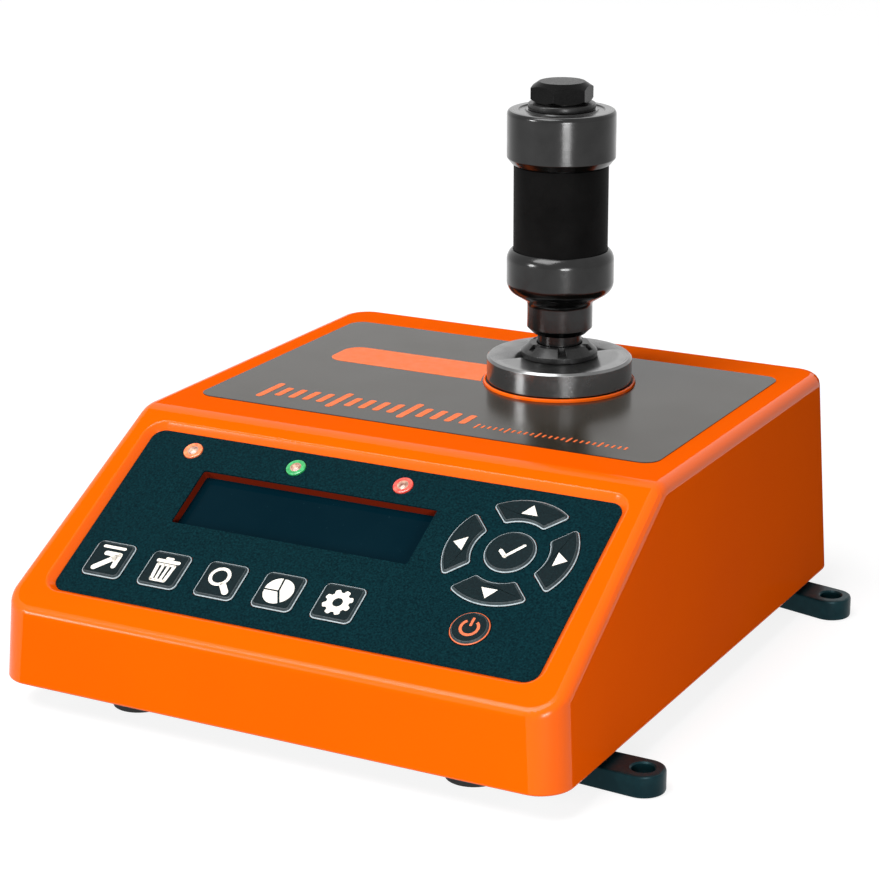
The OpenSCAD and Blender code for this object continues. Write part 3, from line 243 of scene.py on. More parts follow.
def boardFinish(name, colour, track):
    # circuit board with rows of copper tracks under its lacquer
    f = Finish(name, Specular_IOR_Level=0.5)
    bricks = f.add("ShaderNodeTexBrick", None, {
        "Vector": f.place, "Scale": 160.0, "Mortar Size": 0.03, "Color1": (0, 0, 0, 1),
        "Color2": (0, 0, 0, 1), "Mortar": (1, 1, 1, 1)})["Fac"]
    f.put("Base Color", f.mix(bricks, colour, track))
    f.put("Roughness", f.range(f.noise(0.004), 0.3, 0.42))
    f.put("Normal", f.bump(bricks, 0.00003, 0.6))
    return f.material


driveAxis = (0.0164, 0.04995, 0)
drivePlace = Matrix.Translation((driveAxis[0] / mm, driveAxis[1] / mm, 0))
finishes = {
    "paint": paintFinish("orangePaint", rgb(252, 97, 3), rgb(250, 94, 3), 0.24, 0.0),
    "edge": paintFinish("edgePaint", rgb(252, 102, 2), rgb(250, 99, 2), 0.2, 0.2),
    # dark red paint for the walls of the display opening: painted shade, the orange paint darkened as if
    # these walls lay in shadow
    "opening": paintFinish("paintedShadeWallPaint", rgb(120, 34, 14), rgb(110, 30, 12), 0.5, 0.02),
    "overlay": filmFinish("overlayFilm", rgb(1, 24, 30), rgb(9, 47, 53), 0.46, 0.0006, 0.00006, 0.02),
    "keyTop": filmFinish("keyTopFilm", rgb(2, 18, 22), rgb(8, 30, 34), 0.3, 0.0006, 0.00002, 0.1),
    # light-grey line round each key cap's foot: a painted edge highlight
    "rim": inkFinish("keyRim", rgb(170, 182, 186), rgb(126, 140, 146)),
    "bevel": inkFinish("keyBevel", rgb(22, 36, 40), rgb(50, 66, 70)),
    "white": inkFinish("whiteInk", rgb(255, 250, 240), rgb(235, 228, 216)),
    "power": inkFinish("orangeInk", rgb(226, 112, 66), rgb(196, 92, 52)),
    # the label film is dark; its warm brown tint is a painted reflection of warm surroundings
    "label": filmFinish("labelFilm", rgb(36, 30, 20), rgb(44, 38, 28), 0.2, 0.0009, 0.000006, 0.3),
    "pill": inkFinish("labelInk", rgb(255, 118, 50), rgb(244, 108, 44)),
    "glass": glassFinish("windowGlass", rgb(0, 24, 34), rgb(30, 60, 68)),
    "cell": plasticFinish("displayCell", rgb(3, 12, 16), rgb(8, 20, 26), 0.2),
    "steel": turnedFinish("turnedSteel", grey(0.042), grey(0.034), 0.16, driveAxis),
    "disc": turnedFinish("discSteel", grey(0.2), grey(0.15), 0.2, driveAxis),
    "faced": facedFinish("facedSteel", grey(0.3), grey(0.22), 0.26, driveAxis),
    "darkSteel": blackSteelFinish("darkSteel", grey(0.025), grey(0.05), 0.3),
    "oxide": blackSteelFinish("blackOxide", grey(0.003), grey(0.006), 0.24, metal=0.0, gloss=0.06),
    "sleeve": plasticFinish("blackSleeve", grey(0.003), grey(0.006), 0.55, 0.03),
    "lug": blackSteelFinish("lugPaint", rgb(3, 34, 40), rgb(18, 54, 60), 0.36, 0.0009, 0.3),
    "plate": blackSteelFinish("platePaint", rgb(14, 14, 15), rgb(30, 30, 31), 0.5, 0.0009),
    "rubber": plainFinish("rubber", rgb(16, 16, 16), rgb(36, 35, 34), (0.62, 0.8), 0.0004, 4,
                          (0.004, 3), relief=(0.00004, 0.6), gloss=0.35),
    "zinc": turnedFinish("zincPlate", (0.55, 0.55, 0.56, 1), (0.4, 0.4, 0.41, 1), 0.3, (0, 0, 0)),
    "brass": turnedFinish("brass", (0.65, 0.48, 0.2, 1), (0.45, 0.32, 0.12, 1), 0.3, (0, 0, 0)),
    "board": boardFinish("boardLacquer", rgb(12, 62, 34), rgb(40, 110, 60)),
    "cable": plasticFinish("flatCable", rgb(206, 206, 200), rgb(180, 180, 176), 0.45),
    "chip": plasticFinish("chipCase", rgb(22, 22, 24), rgb(38, 38, 40), 0.42),
    "wrap": plasticFinish("cellWrap", rgb(52, 92, 150), rgb(40, 74, 128), 0.3),
    "gauge": plasticFinish("gaugeFoil", rgb(190, 140, 60), rgb(150, 104, 40), 0.35),
    "amber": lampFinish("amberLens", rgb(240, 96, 50), rgb(250, 150, 90)),
    "green": lampFinish("greenLens", rgb(18, 140, 70), rgb(60, 190, 110)),
    "red": lampFinish("redLens", rgb(226, 44, 36), rgb(250, 110, 90)),
    # pale colour of the clear dome: a painted highlight
    "lamp": lampFinish("paintedHighlightDomeLens", rgb(214, 176, 150), rgb(120, 62, 48)),
}
print("finishes made:", len(finishes))


def addObject(name, data):
    thing = bpy.data.objects.new(name, data)
    bpy.context.collection.objects.link(thing)
    return thing


def plainMesh(thing):
    # the mesh as its modifiers leave it
    return bpy.data.meshes.new_from_object(thing.evaluated_get(bpy.context.evaluated_depsgraph_get()))


def newMesh(name, vertices, faces, materials, faceMaterials=None, smooth=32):
    mesh = bpy.data.meshes.new(name)
    mesh.from_pydata([tuple(v) for v in vertices], [], faces)
    for material in materials:
        mesh.materials.append(finishes[material])
    if faceMaterials:
        mesh.polygons.foreach_set("material_index", faceMaterials)
    return tidyMesh(name, mesh, smooth)


def tidyMesh(name, mesh, smooth=32):
    # doubles merged, faces outwards, soft edges shaded smooth and the rest kept sharp
    work = bmesh.new()
    work.from_mesh(mesh)
    bmesh.ops.remove_doubles(work, verts=work.verts, dist=1e-7)
    bmesh.ops.recalc_face_normals(work, faces=work.faces)
    work.to_mesh(mesh)
    work.free()
    mesh.polygons.foreach_set("use_smooth", [True] * len(mesh.polygons))
    mesh.set_sharp_from_angle(angle=radians(smooth))
    thing = addObject(name, mesh)
    weigh = thing.modifiers.new("weigh", "WEIGHTED_NORMAL")
    weigh.keep_sharp = True
    weigh.weight = 80
    return thing


def joinMeshes(name, things):
    # several objects become one, and the first one's name and modifiers go
    work = bmesh.new()
    materials = []
    for thing in things:
        start = len(work.faces)
        work.from_mesh(thing.data)
        work.faces.ensure_lookup_table()
        for face in work.faces[start:]:
            own = thing.data.materials[face.material_index]
            if own not in materials:
                materials.append(own)
            face.material_index = materials.index(own)
        bpy.data.objects.remove(thing)
    mesh = bpy.data.meshes.new(name)
    work.to_mesh(mesh)
    work.free()
    for material in materials:
        mesh.materials.append(material)
    return tidyMesh(name, mesh)


def setPiece(thing, body, slot, *nodes):
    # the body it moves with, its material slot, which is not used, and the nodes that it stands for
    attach(thing, body)
    if nodes:
        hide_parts(*nodes)
    return thing


def arcPoints(centre, r, start, end, steps):
    return [Vector((centre[0] + r * cos(start + (end - start) * i / steps),
                    centre[1] + r * sin(start + (end - start) * i / steps))) for i in range(steps + 1)]


def circle(r, middle=(0, 0), steps=48):
    return arcPoints(middle, r, 0, 2 * pi, steps)[:-1]


def roundedRect(size, r, middle=(0, 0), steps=8):
    w, d = size[0] / 2 - r, size[1] / 2 - r
    points = []
    for i, (x, y) in enumerate([(w, d), (-w, d), (-w, -d), (w, -d)]):
        points += arcPoints((middle[0] + x, middle[1] + y), r, i * pi / 2, (i + 1) * pi / 2, steps)
    return [p for i, p in enumerate(points) if (p - points[i - 1]).length > 1e-6]


def grow(outline, distance):
    # an outline that runs anticlockwise, moved outwards by its corners' bisectors
    moved = []
    for i, point in enumerate(outline):
        into = (point - outline[i - 1]).normalized()
        out = (outline[(i + 1) % len(outline)] - point).normalized()
        along = into + out
        across = Vector((along.y, -along.x)).normalized()
        moved.append(point + across * distance / max(along.length / 2, 0.3))
    return moved


def stack(name, outline, levels, materials, place=None):
    # skins an outline through levels of (growth, height, material or nothing for the first one)
    levels = [(*level, 0)[:3] for level in levels]
    vertices = []
    faces = []
    faceMaterials = []
    count = len(outline)
    for growth, height, material in levels:
        vertices += [Vector((p.x, p.y, height)) for p in grow(outline, growth)]
    for level in range(len(levels) - 1):
        for i in range(count):
            j = (i + 1) % count
            faces.append((level * count + i, level * count + j,
                          (level + 1) * count + j, (level + 1) * count + i))
            faceMaterials.append(levels[level + 1][2])
    faces.append(tuple(reversed(range(count))))
    faces.append(tuple(range((len(levels) - 1) * count, len(levels) * count)))
    faceMaterials += [levels[0][2], levels[-1][2]]
    place = place or Matrix.Identity(4)
    return newMesh(name, [(place @ v) * mm for v in vertices], faces, materials, faceMaterials)


def lathe(name, profile, materials, place=drivePlace, segments=144, closed=False):
    # turns a profile of (radius, height) about the upright axis of place
    vertices = []
    faces = []
    rings = []
    for r, z in profile:
        if r < 1e-6:
            rings.append([len(vertices)])
            vertices.append(place @ Vector((0, 0, z)) * mm)
        else:
            rings.append(range(len(vertices), len(vertices) + segments))
            turns = [2 * pi * i / segments for i in range(segments)]
            vertices += [place @ Vector((r * cos(turn), r * sin(turn), z)) * mm for turn in turns]
    last = len(rings) if closed else len(rings) - 1
    for k in range(last):
        a, b = rings[k], rings[(k + 1) % len(rings)]
        for i in range(segments):
            j = (i + 1) % segments
            corners = [a[i % len(a)], a[j % len(a)], b[j % len(b)], b[i % len(b)]]
            face = tuple(dict.fromkeys(corners))
            if len(face) > 2:
                faces.append(face)
    return newMesh(name, vertices, faces, materials, smooth=30)


def softProfile(points, r=0.25, steps=3, closed=False):
    # rounds the corners of a profile; a point may carry its own radius as a third value
    if closed:
        points = [points[-1]] + points + [points[0]]
    soft = [] if closed else [points[0][:2]]
    for before, here, after in zip(points, points[1:], points[2:]):
        corner = Vector(here[:2])
        into = Vector(before[:2]) - corner
        out = Vector(after[:2]) - corner
        size = here[2] if len(here) > 2 else r
        half = into.angle(out) / 2
        reach = min(size / tan(half), into.length * 0.48, out.length * 0.48) if half > 0.02 else 0
        if reach < 0.01 or half > pi / 2 - 0.03:
            soft.append(tuple(corner))
            continue
        start = corner + into.normalized() * reach
        end = corner + out.normalized() * reach
        for i in range(steps + 1):
            t = i / steps
            bend = start * (1 - t) ** 2 + corner * 2 * t * (1 - t) + end * t ** 2
            soft.append(tuple(bend))
    return soft if closed else soft + [points[-1][:2]]


def turnedRing(name, points, materials, r=0.2, steps=3):
    return lathe(name, softProfile(points, r, steps, closed=True), materials, closed=True)


def cutAway(thing, tools, operation="DIFFERENCE"):
    # boolean of a solid with several tools, made into a plain mesh
    for tool in tools:
        cut = thing.modifiers.new("cut", "BOOLEAN")
        cut.operation = operation
        cut.solver = "EXACT"
        cut.object = tool
    thing.modifiers.remove(thing.modifiers["weigh"])
    bpy.context.view_layer.update()
    solid = plainMesh(thing)
    name = thing.name
    for used in [thing] + list(tools):
        bpy.data.objects.remove(used)
    return tidyMesh(name, solid)


def hullOf(name, points):
    # the tightest closed skin round a cloud of points, with its flat faces kept whole
    work = bmesh.new()
    for point in points:
        work.verts.new(point * mm)
    bmesh.ops.remove_doubles(work, verts=work.verts, dist=1e-7)
    result = bmesh.ops.convex_hull(work, input=work.verts)
    unused = set(result["geom_interior"] + result["geom_unused"])
    bmesh.ops.delete(work, geom=[part for part in unused if isinstance(part, bmesh.types.BMVert)])
    bmesh.ops.remove_doubles(work, verts=work.verts, dist=1e-7)
    bmesh.ops.dissolve_limit(work, angle_limit=radians(0.05), verts=work.verts, edges=work.edges)
    mesh = bpy.data.meshes.new(name)
    work.to_mesh(mesh)
    work.free()
    mesh.materials.append(finishes["paint"])
    return tidyMesh(name, mesh)


# Housing: a wedge drawn by its faces in section, then rounded, hollowed and cut
housing = {
    "width": 180, "depth": 205.4, "rim": 8.3, "top": 72.4, "wall": 3,
    "slopeAngle": 29.6, "sideDraft": 3.5, "frontDraft": 3.5, "rearDraft": 0.8,
    "cornerR": 10, "bendR": 12, "edgeR": 3.3, "footR": 0.8, "cavityR": 2, "turns": 96, "bendTurns": 288,
    "panelY": -91, "panelZ": 34.6, "pocketDepth": 2, "pocketRun": 1.8, "lipRound": 0.35, "floor": 2.5,
    "columnR": 5, "columnX": 77, "columnY": 91.7, "columnFoot": 11.8, "columnTop": 80,
    "columnHoleR": 2.05, "columnHole": 12,
    "postR": 1.9, "postX": 72.3, "postY": (60.3, 24.375), "postFoot": -6.8, "holeR": 1.05,
    "middlePostX": -17.275, "displayPostX": (-57.1, 27.9), "displayPostY": (30.8, 53),
    "displayPostFoot": -6.2,
    "turretR": 22.9, "lipWidth": 0.7, "lipTop": 73.55,
    "usb": (-56.8, 24.8, 12.0, 11.4), "charger": (-32.8, 23.8, 9.4, 9.4)}
overlay = {"size": (154.6, 65.3), "cornerR": 4, "thickness": 0.5, "gap": 0.15}
display = {"size": (78, 21), "middle": (-14.6, 41.9), "cornerR": 0.8}
keys = {
    "size": 13.1, "cornerR": 2, "pitch": 19.05, "first": (-64.9, 13.7), "gap": 0.25,
    "arrows": (51.9, 41.8), "arrowInner": 11.3, "arrowOuter": 19.6, "arrowGap": 5.2, "arrowCornerR": 1.2,
    "confirmR": 7.5, "power": (52.1, 13.7), "powerR": 5.75, "stemR": 1.6, "stemEnd": -5.85,
    "face": 0.6, "arrowTurns": {"right": 0, "up": 90, "left": 180, "down": 270}}
lamps = {"first": (-61, 59), "pitch": 35.6, "r": 3, "gap": 0.12, "foot": -6.8, "flangeR": 3.12,
         "flangeTop": -3.1, "domeR": 1.72, "top": 0.9}
panelPlace = (Matrix.Translation((0, housing["panelY"], housing["panelZ"]))
              @ Matrix.Rotation(radians(housing["slopeAngle"]), 4, "X"))

slope = radians(housing["slopeAngle"])
slopeN = Vector((-sin(slope), cos(slope)))
frontN = Vector((-cos(radians(housing["frontDraft"])), sin(radians(housing["frontDraft"]))))
rearN = Vector((cos(radians(housing["rearDraft"])), sin(radians(housing["rearDraft"]))))
sideN = Vector((cos(radians(housing["sideDraft"])), sin(radians(housing["sideDraft"]))))
slopeC = slopeN @ Vector((housing["panelY"], housing["panelZ"])) + housing["pocketDepth"]
frontC = frontN @ Vector((-housing["depth"] / 2, housing["rim"]))
rearC = rearN @ Vector((housing["depth"] / 2, housing["rim"]))
sideC = sideN @ Vector((housing["width"] / 2, housing["rim"]))


def meet(n1, c1, n2, c2):
    turn = n1.x * n2.y - n1.y * n2.x
    return Vector(((c1 * n2.y - c2 * n1.y) / turn, (n1.x * c2 - n2.x * c1) / turn))


def reach(r, edge, lean):
    return (r - edge) * sqrt(1 - lean * lean) + edge


def sideTouch(z, far):
    return (sideC - far - sideN.y * z) / sideN.x


def softDisc(r, edge, turns, steps=8):
    # points on a disc whose rim is rounded, lying flat round the origin
    leans = [(i / steps - 0.5) * pi for i in range(steps + 1)]
    return [Vector((*point, edge * sin(lean)))
            for lean in leans for point in circle(r - edge + edge * cos(lean), steps=turns)]


def bothSides(points, x, y, z, turn=None):
    moved = []
    for side in (-1, 1):
        place = Matrix.Translation((side * x, y, z)) @ (turn or Matrix.Identity(4))
        moved += [place @ point for point in points]
    return moved


def housingPoints():
    h = housing
    corner, bend, edge = h["cornerR"], h["bendR"], h["edgeR"]
    flat = Vector((0, 1))
    lowX, lowY = h["width"] / 2 - corner, h["depth"] / 2 - corner
    points = []
    for i in range(6):
        lean = i / 5 * pi / 2
        foot = circle(corner - h["footR"] * (1 - sin(lean)), steps=h["turns"])
        ring = [Vector((*point, 0)) for point in foot]
        for y in (-lowY, lowY):
            points += bothSides(ring, lowX, y, h["rim"] + h["footR"] * (1 - cos(lean)))
    front = meet(slopeN, slopeC - edge, frontN, frontC - reach(corner, edge, frontN @ slopeN))
    fold = meet(slopeN, slopeC - bend, flat, h["top"] - bend)
    rear = meet(flat, h["top"] - edge, rearN, rearC - reach(corner, edge, rearN.y))
    disc = softDisc(corner, edge, h["turns"])
    points += bothSides(disc, sideTouch(front.y, reach(corner, edge, sideN.y * slopeN.y)),
                        front.x, front.y, Matrix.Rotation(slope, 4, "X"))
    points += bothSides(softDisc(bend, edge, h["bendTurns"]), sideTouch(fold.y, reach(bend, edge, sideN.x)),
                        fold.x, fold.y, Matrix.Rotation(pi / 2, 4, "Y"))
    points += bothSides(disc, sideTouch(rear.y, reach(corner, edge, sideN.y)), rear.x, rear.y)
    return points


def cavityPoints():
    h = housing
    skin = h["wall"] + h["cavityR"]
    under = slopeC - h["pocketDepth"] - overlay["thickness"] - h["floor"] - h["cavityR"]
    flat = Vector((0, 1))
    ring = [Vector((*point, 0)) for point in circle(h["cornerR"] - h["wall"], steps=32)]
    points = []
    for y in (h["cornerR"] - h["depth"] / 2, h["depth"] / 2 - h["cornerR"]):
        points += bothSides(ring, h["width"] / 2 - h["cornerR"], y, h["rim"] - 1)
    ball = softDisc(h["cavityR"], h["cavityR"], 24, 6)
    for spot in (meet(slopeN, under, frontN, frontC - skin), meet(slopeN, under, flat, h["top"] - skin),
                 meet(flat, h["top"] - skin, rearN, rearC - skin)):
        points += bothSides(ball, sideTouch(spot.y, skin), spot.x, spot.y)
    return points


def arrowOutline(turn=0.0):
    # one arrow key, pointing along X before it is turned
    inner, outer, r = keys["arrowInner"], keys["arrowOuter"], keys["arrowCornerR"]
    edge = keys["arrowGap"] / 2 + r
    outerTurn = pi / 4 - asin(edge / (outer - r))
    innerTurn = pi / 4 - asin(edge / (inner + r))
    outerCorner = ((outer - r) * cos(outerTurn), (outer - r) * sin(outerTurn))
    innerCorner = ((inner + r) * cos(innerTurn), (inner + r) * sin(innerTurn))
    upper = arcPoints((0, 0), outer, 0, outerTurn, 12)[:-1]
    upper += arcPoints(outerCorner, r, outerTurn, 3 * pi / 4, 5)
    upper += arcPoints(innerCorner, r, 3 * pi / 4, pi + innerTurn, 5)[:-1]
    upper += arcPoints((0, 0), inner, innerTurn, 0, 8)
    lower = [Vector((p.x, -p.y)) for p in reversed(upper)]
    middle = Vector(keys["arrows"])
    return [middle + Matrix.Rotation(turn, 2) @ p for p in upper + lower[1:-1]]


def slab(name, outline, low, high, place=panelPlace):
    return stack(name, outline, [(0, low), (0, high)], ["paint"], place)


squareKeys = ["export_key", "delete_key", "view_key", "statistics_key", "settings_key"]


def squareKeyMiddle(i):
    return (keys["first"][0] + i * keys["pitch"], keys["first"][1])


def keyOutlines():
    size = (keys["size"], keys["size"])
    outlines = {name: roundedRect(size, keys["cornerR"], squareKeyMiddle(i))
                for i, name in enumerate(squareKeys)}
    for way, turn in keys["arrowTurns"].items():
        outlines[way + "_key"] = arrowOutline(radians(turn))
    outlines["confirm_key"] = circle(keys["confirmR"], keys["arrows"], 64)
    outlines["power_key"] = circle(keys["powerR"], keys["power"], 64)
    return outlines


def makeHousing():
    h = housing
    shell = hullOf("housing", housingPoints())
    hollow = hullOf("hollow", cavityPoints())
    columns = [(x, y) for x in (-h["columnX"], h["columnX"]) for y in (-h["columnY"], 0, h["columnY"])]
    low = h["columnFoot"]
    upright = Matrix.Identity(4)
    solids = [slab("column", circle(h["columnR"], spot, 32), low, h["columnTop"], upright)
              for spot in columns]
    holes = [slab("hole", circle(h["columnHoleR"], spot, 24), low - 1, low - 1 + h["columnHole"], upright)
             for spot in columns]
    spots = [(x, y, h["postFoot"]) for x in (-h["postX"], h["postX"]) for y in h["postY"]]
    spots.append((h["middlePostX"], h["postY"][1], h["postFoot"]))
    spots += [(x, y, h["displayPostFoot"]) for x in h["displayPostX"] for y in h["displayPostY"]]
    for x, y, under in spots:
        solids.append(slab("post", circle(h["postR"], (x, y), 24), under, -0.6))
        holes.append(slab("hole", circle(h["holeR"], (x, y), 24), under - 1, under + 1.9))
    hollow = cutAway(hollow, [joinMeshes("solids", solids)])
    ringR, lipTop = h["turretR"], h["lipTop"]
    lipR = ringR + h["lipWidth"]
    lip = lathe("lip", softProfile([(0, 70), (lipR, 70), (lipR, lipTop), (0, lipTop)], 0.3), ["paint"])
    shell = cutAway(shell, [lip], "UNION")

    panel = roundedRect(overlay["size"], overlay["cornerR"], (0, overlay["size"][1] / 2), 16)
    depth, run, soft, gap = h["pocketDepth"], h["pocketRun"], h["lipRound"], overlay["gap"]
    pocket = stack("pocket", panel, [
        (gap, -overlay["thickness"]), (gap, 0.06), (gap + run * (1 - soft / depth), depth - soft),
        (gap + run + 0.02, depth - soft * 0.42), (gap + run + 0.28, depth - soft * 0.1),
        (gap + run + 0.9, depth + 0.12), (gap + run + 0.95, depth + 3)], ["paint"], panelPlace)
    low = -overlay["thickness"] - h["floor"] - 1
    openings = [slab("opening", grow(outline, keys["gap"]), low, 0.5) for outline in keyOutlines().values()]
    window = roundedRect(display["size"], display["cornerR"], display["middle"])
    openings.append(slab("opening", window, low, 0.5))
    for i in range(3):
        spot = (lamps["first"][0] + i * lamps["pitch"], lamps["first"][1])
        openings.append(slab("opening", circle(lamps["r"] + lamps["gap"], spot, 32), low, 0.5))
    turret = lathe("turret", [
        (0, 68), (ringR, 68), (ringR, lipTop - 0.2), (ringR + 0.06, lipTop - 0.06), (ringR + 0.2, lipTop),
        (ringR + 0.3, lipTop + 0.5), (0, lipTop + 0.5)], ["paint"])
    rears = []
    for x, z, w, t in (h["usb"], h["charger"]):
        rear = Matrix.Translation((x, h["depth"] / 2 + 1, z)) @ Matrix.Rotation(pi / 2, 4, "X")
        rears.append(slab("rear", roundedRect((w, t), 0.4), 0, 9, rear))
    return cutAway(shell, [hollow, pocket, joinMeshes("openings", openings), turret,
                           joinMeshes("holes", holes), joinMeshes("rears", rears)])


cover = makeHousing()
cover.name = "housing_shell"
cover.data.materials.append(finishes["edge"])
cover.data.materials.append(finishes["opening"])
paintedShadeSlot = len(cover.data.materials) - 1
flats = [Vector((0, *slopeN)), Vector((0, *frontN)), Vector((0, *rearN)), Vector((0, 0, 1)),
         Vector((0, 0, -1)), Vector((sideN.x, 0, sideN.y)), Vector((-sideN.x, 0, sideN.y))]
for face in cover.data.polygons:
    # rounded edges shine more than the flats, except at the rear
    if face.normal.y < 0.1 and max(face.normal @ flat for flat in flats) < cos(radians(6)):
        face.material_index = paintedShadeSlot - 1
    # faces inside the display opening get the dark red paint, a painted shade on the opening's walls
    spot = panelPlace.inverted() @ (face.center / mm) - Vector((*display["middle"], 0))
    inOpening = abs(spot.x) < display["size"][0] / 2 + 0.1 and abs(spot.y) < display["size"][1] / 2 + 0.1
    if inOpening and spot.z < -0.3:
        face.material_index = paintedShadeSlot
setPiece(cover, "base", "housing", "housing")
print("housing made")

# Keys: a cap with a thin bright rim round its foot, a painted edge highlight, on its flange and stem
keyLevels = [(0.6, -4.05), (0.8, -3.85), (0.8, -3.05), (0, -3.04), (0, 0.08), (-0.04, 0.2, 1), (-0.3, 0.3, 1),
             (-0.36, 0.34, 2), (-0.62, 0.7, 2), (-0.68, 0.76, 2), (-0.78, 0.8, 2), (-0.88, 0.8, 2),
             (-0.96, 0.76), (-1.1, 0.62), (-1.25, 0.6)]
for name, outline in keyOutlines().items():
    middle = sum(outline, Vector((0, 0))) / len(outline)
    inks = ["keyTop", "power" if name == "power_key" else "rim", "bevel"]
    cap = stack("cap", outline, keyLevels, inks, panelPlace)
    if name.split("_")[0] in keys["arrowTurns"]:
        turn = radians(keys["arrowTurns"][name.split("_")[0]])
        far = (keys["arrowInner"] + keys["arrowOuter"]) / 2
        middle = Vector(keys["arrows"]) + far * Vector((cos(turn), sin(turn)))
    stem = stack("stem", circle(keys["stemR"], middle, 24),
                 [(-0.2, keys["stemEnd"]), (0, keys["stemEnd"] + 0.2), (0, -3.9)], inks, panelPlace)
    setPiece(joinMeshes(name + "_cap", [cap, stem]), name, "key", name)
print("keys made")


# Signs on the keys, printed a hair above the face
def bar(a, b, width, steps=6):
    a, b = Vector(a), Vector(b)
    aim = atan2(b.y - a.y, b.x - a.x)
    return (arcPoints(b, width / 2, aim - pi / 2, aim + pi / 2, steps)
            + arcPoints(a, width / 2, aim + pi / 2, aim + 3 * pi / 2, steps))


def sector(r, start, end, shift):
    start, end = radians(start), radians(end)
    middle = shift * Vector((cos((start + end) / 2), sin((start + end) / 2)))
    return [middle] + arcPoints(middle, r, start, end, 24)


def arcBar(r, width, start, end):
    start, end = radians(start), radians(end)
    return (arcPoints((0, 0), r + width / 2, start, end, 32)
            + arcPoints((0, 0), r - width / 2, end, start, 32))


def printed(name, outline, ink, low, level, place):
    # ink that stands 0.05 above a surface at level, with a softened edge
    return stack(name, outline, [(0, low), (0, level + 0.03), (-0.03, level + 0.05)], [ink], place)


def sign(outline, ink):
    return printed("sign", outline, ink, keys["face"] - 0.02, keys["face"], panelPlace)


def ringSign(outline, innerR, ink, middle):
    # a closed band between an outline and a round hole about its middle
    loops = []
    for outside, height in ((True, -0.02), (True, 0.05), (False, 0.05), (False, -0.02)):
        for p in outline:
            spot = p if outside else middle + (p - middle).normalized() * innerR
            loops.append(panelPlace @ Vector((spot.x, spot.y, keys["face"] + height)) * mm)
    count = len(outline)
    faces = [(k * count + i, k * count + (i + 1) % count, (k + 1) % 4 * count + (i + 1) % count,
              (k + 1) % 4 * count + i) for k in range(4) for i in range(count)]
    return newMesh("sign", loops, faces, [ink])


def moved(outline, middle):
    return [p + Vector(middle) for p in outline]


def gearOutline(teeth=8, root=3.5, tip=4.5):
    outline = []
    for i in range(teeth):
        for share, r in ((-0.34, root), (-0.26, tip - 0.4), (-0.2, tip - 0.1), (-0.12, tip), (0.12, tip),
                         (0.2, tip - 0.1), (0.26, tip - 0.4), (0.34, root)):
            turn = (i + share) * 2 * pi / teeth + pi / 8
            outline.append(Vector((r * cos(turn), r * sin(turn))))
    return outline


def signsFor(name, middle):
    flat = {
        "export_key": [bar((-3.6, 4.3), (3.3, 4.3), 1.0), bar((-3.0, -3.8), (1.9, 0.9), 1.9),
                       bar((-1.7, 1.9), (2.9, 1.9), 1.6), bar((2.9, 1.9), (2.9, -2.4), 1.6),
                       [Vector((2.9, 1.7)), Vector((-0.4, 1.4)), Vector((2.6, -1.6))]],
        "delete_key": [bar((-3.4, 2.9), (3.4, 2.9), 1.2), bar((-1.0, 4.0), (1.0, 4.0), 0.8),
                       bar((-2.7, 1.5), (-2.2, -4.0), 1.1), bar((-0.9, 1.5), (-0.75, -4.0), 0.9),
                       bar((0.9, 1.5), (0.75, -4.0), 0.9), bar((2.7, 1.5), (2.2, -4.0), 1.1),
                       bar((-2.2, -4.2), (2.2, -4.2), 0.9), bar((-2.7, 1.6), (2.7, 1.6), 0.8)],
        "view_key": [bar((1.5, -1.5), (3.5, -3.9), 2.0)],
        "statistics_key": [sector(4.3, *turns, 0.36) for turns in ((94, 180), (180, 297), (-63, 94))],
        "confirm_key": [bar((-2.6, -0.3), (-0.7, -2.0), 1.2), bar((-0.7, -2.0), (3.4, 2.8), 0.9)],
    }
    if name == "power_key":
        return [sign(moved(outline, middle), "power")
                for outline in (arcBar(2.55, 0.85, -235, 55), bar((0, 0.9), (0, 3.2), 0.8))]
    made = [sign(moved(outline, middle), "white") for outline in flat.get(name, [])]
    if name == "view_key":
        lens = Vector(middle) + Vector((-0.8, 1.1))
        made.append(ringSign(moved(circle(3.4), lens), 2.35, "white", lens))
    if name == "settings_key":
        made.append(ringSign(moved(gearOutline(), middle), 1.55, "white", Vector(middle)))
    if name.split("_")[0] in keys["arrowTurns"]:
        turn = Matrix.Rotation(radians(keys["arrowTurns"][name.split("_")[0]]), 2)
        tri = [turn @ Vector(p) for p in ((17.5, 0), (13.9, 2.5), (13.9, -2.5))]
        made.append(sign(moved(tri, keys["arrows"]), "white"))
    return made


roundKeys = ["up_key", "right_key", "down_key", "left_key", "confirm_key", "power_key"]
for i, name in enumerate(squareKeys + roundKeys):
    middle = keys["power"] if name == "power_key" else keys["arrows"]
    if name in squareKeys:
        middle = squareKeyMiddle(i)
    made = signsFor(name, middle)
    setPiece(joinMeshes(name.replace("_key", "_sign"), made), name, "key")
print("signs made")

# Lamps: a coloured ring round a clear dome, whose pale mottled colour is a painted highlight
ledKinds = [("left_led", "amber", "orange_lamp"), ("centre_led", "green", "green_lamp"),
            ("right_led", "red", "red_lamp")]
for i, (name, lens, slot) in enumerate(ledKinds):
    place = panelPlace @ Matrix.Translation((lamps["first"][0] + i * lamps["pitch"], lamps["first"][1], 0))
    profile = softProfile([
        (0, lamps["foot"]), (lamps["flangeR"], lamps["foot"]), (lamps["flangeR"], lamps["flangeTop"]),
        (lamps["r"], lamps["flangeTop"]), (lamps["r"], 0.45, 0.3), (2.3, 0.5), (1.75, 0.5)])
    dome = [(lamps["domeR"], 0.48), (1.3, 0.7), (0.8, 0.84), (0.4, 0.89), (0, lamps["top"])]
    ring = lathe(name + "_lens", profile + dome, [lens, "lamp"], place, 48)
    for face in ring.data.polygons:
        spot = place.inverted() @ (face.center / mm)
        face.material_index = 1 if hypot(spot.x, spot.y) < lamps["domeR"] and spot.z > 0 else 0
    setPiece(ring, "base", slot, name)
print("lamps made")

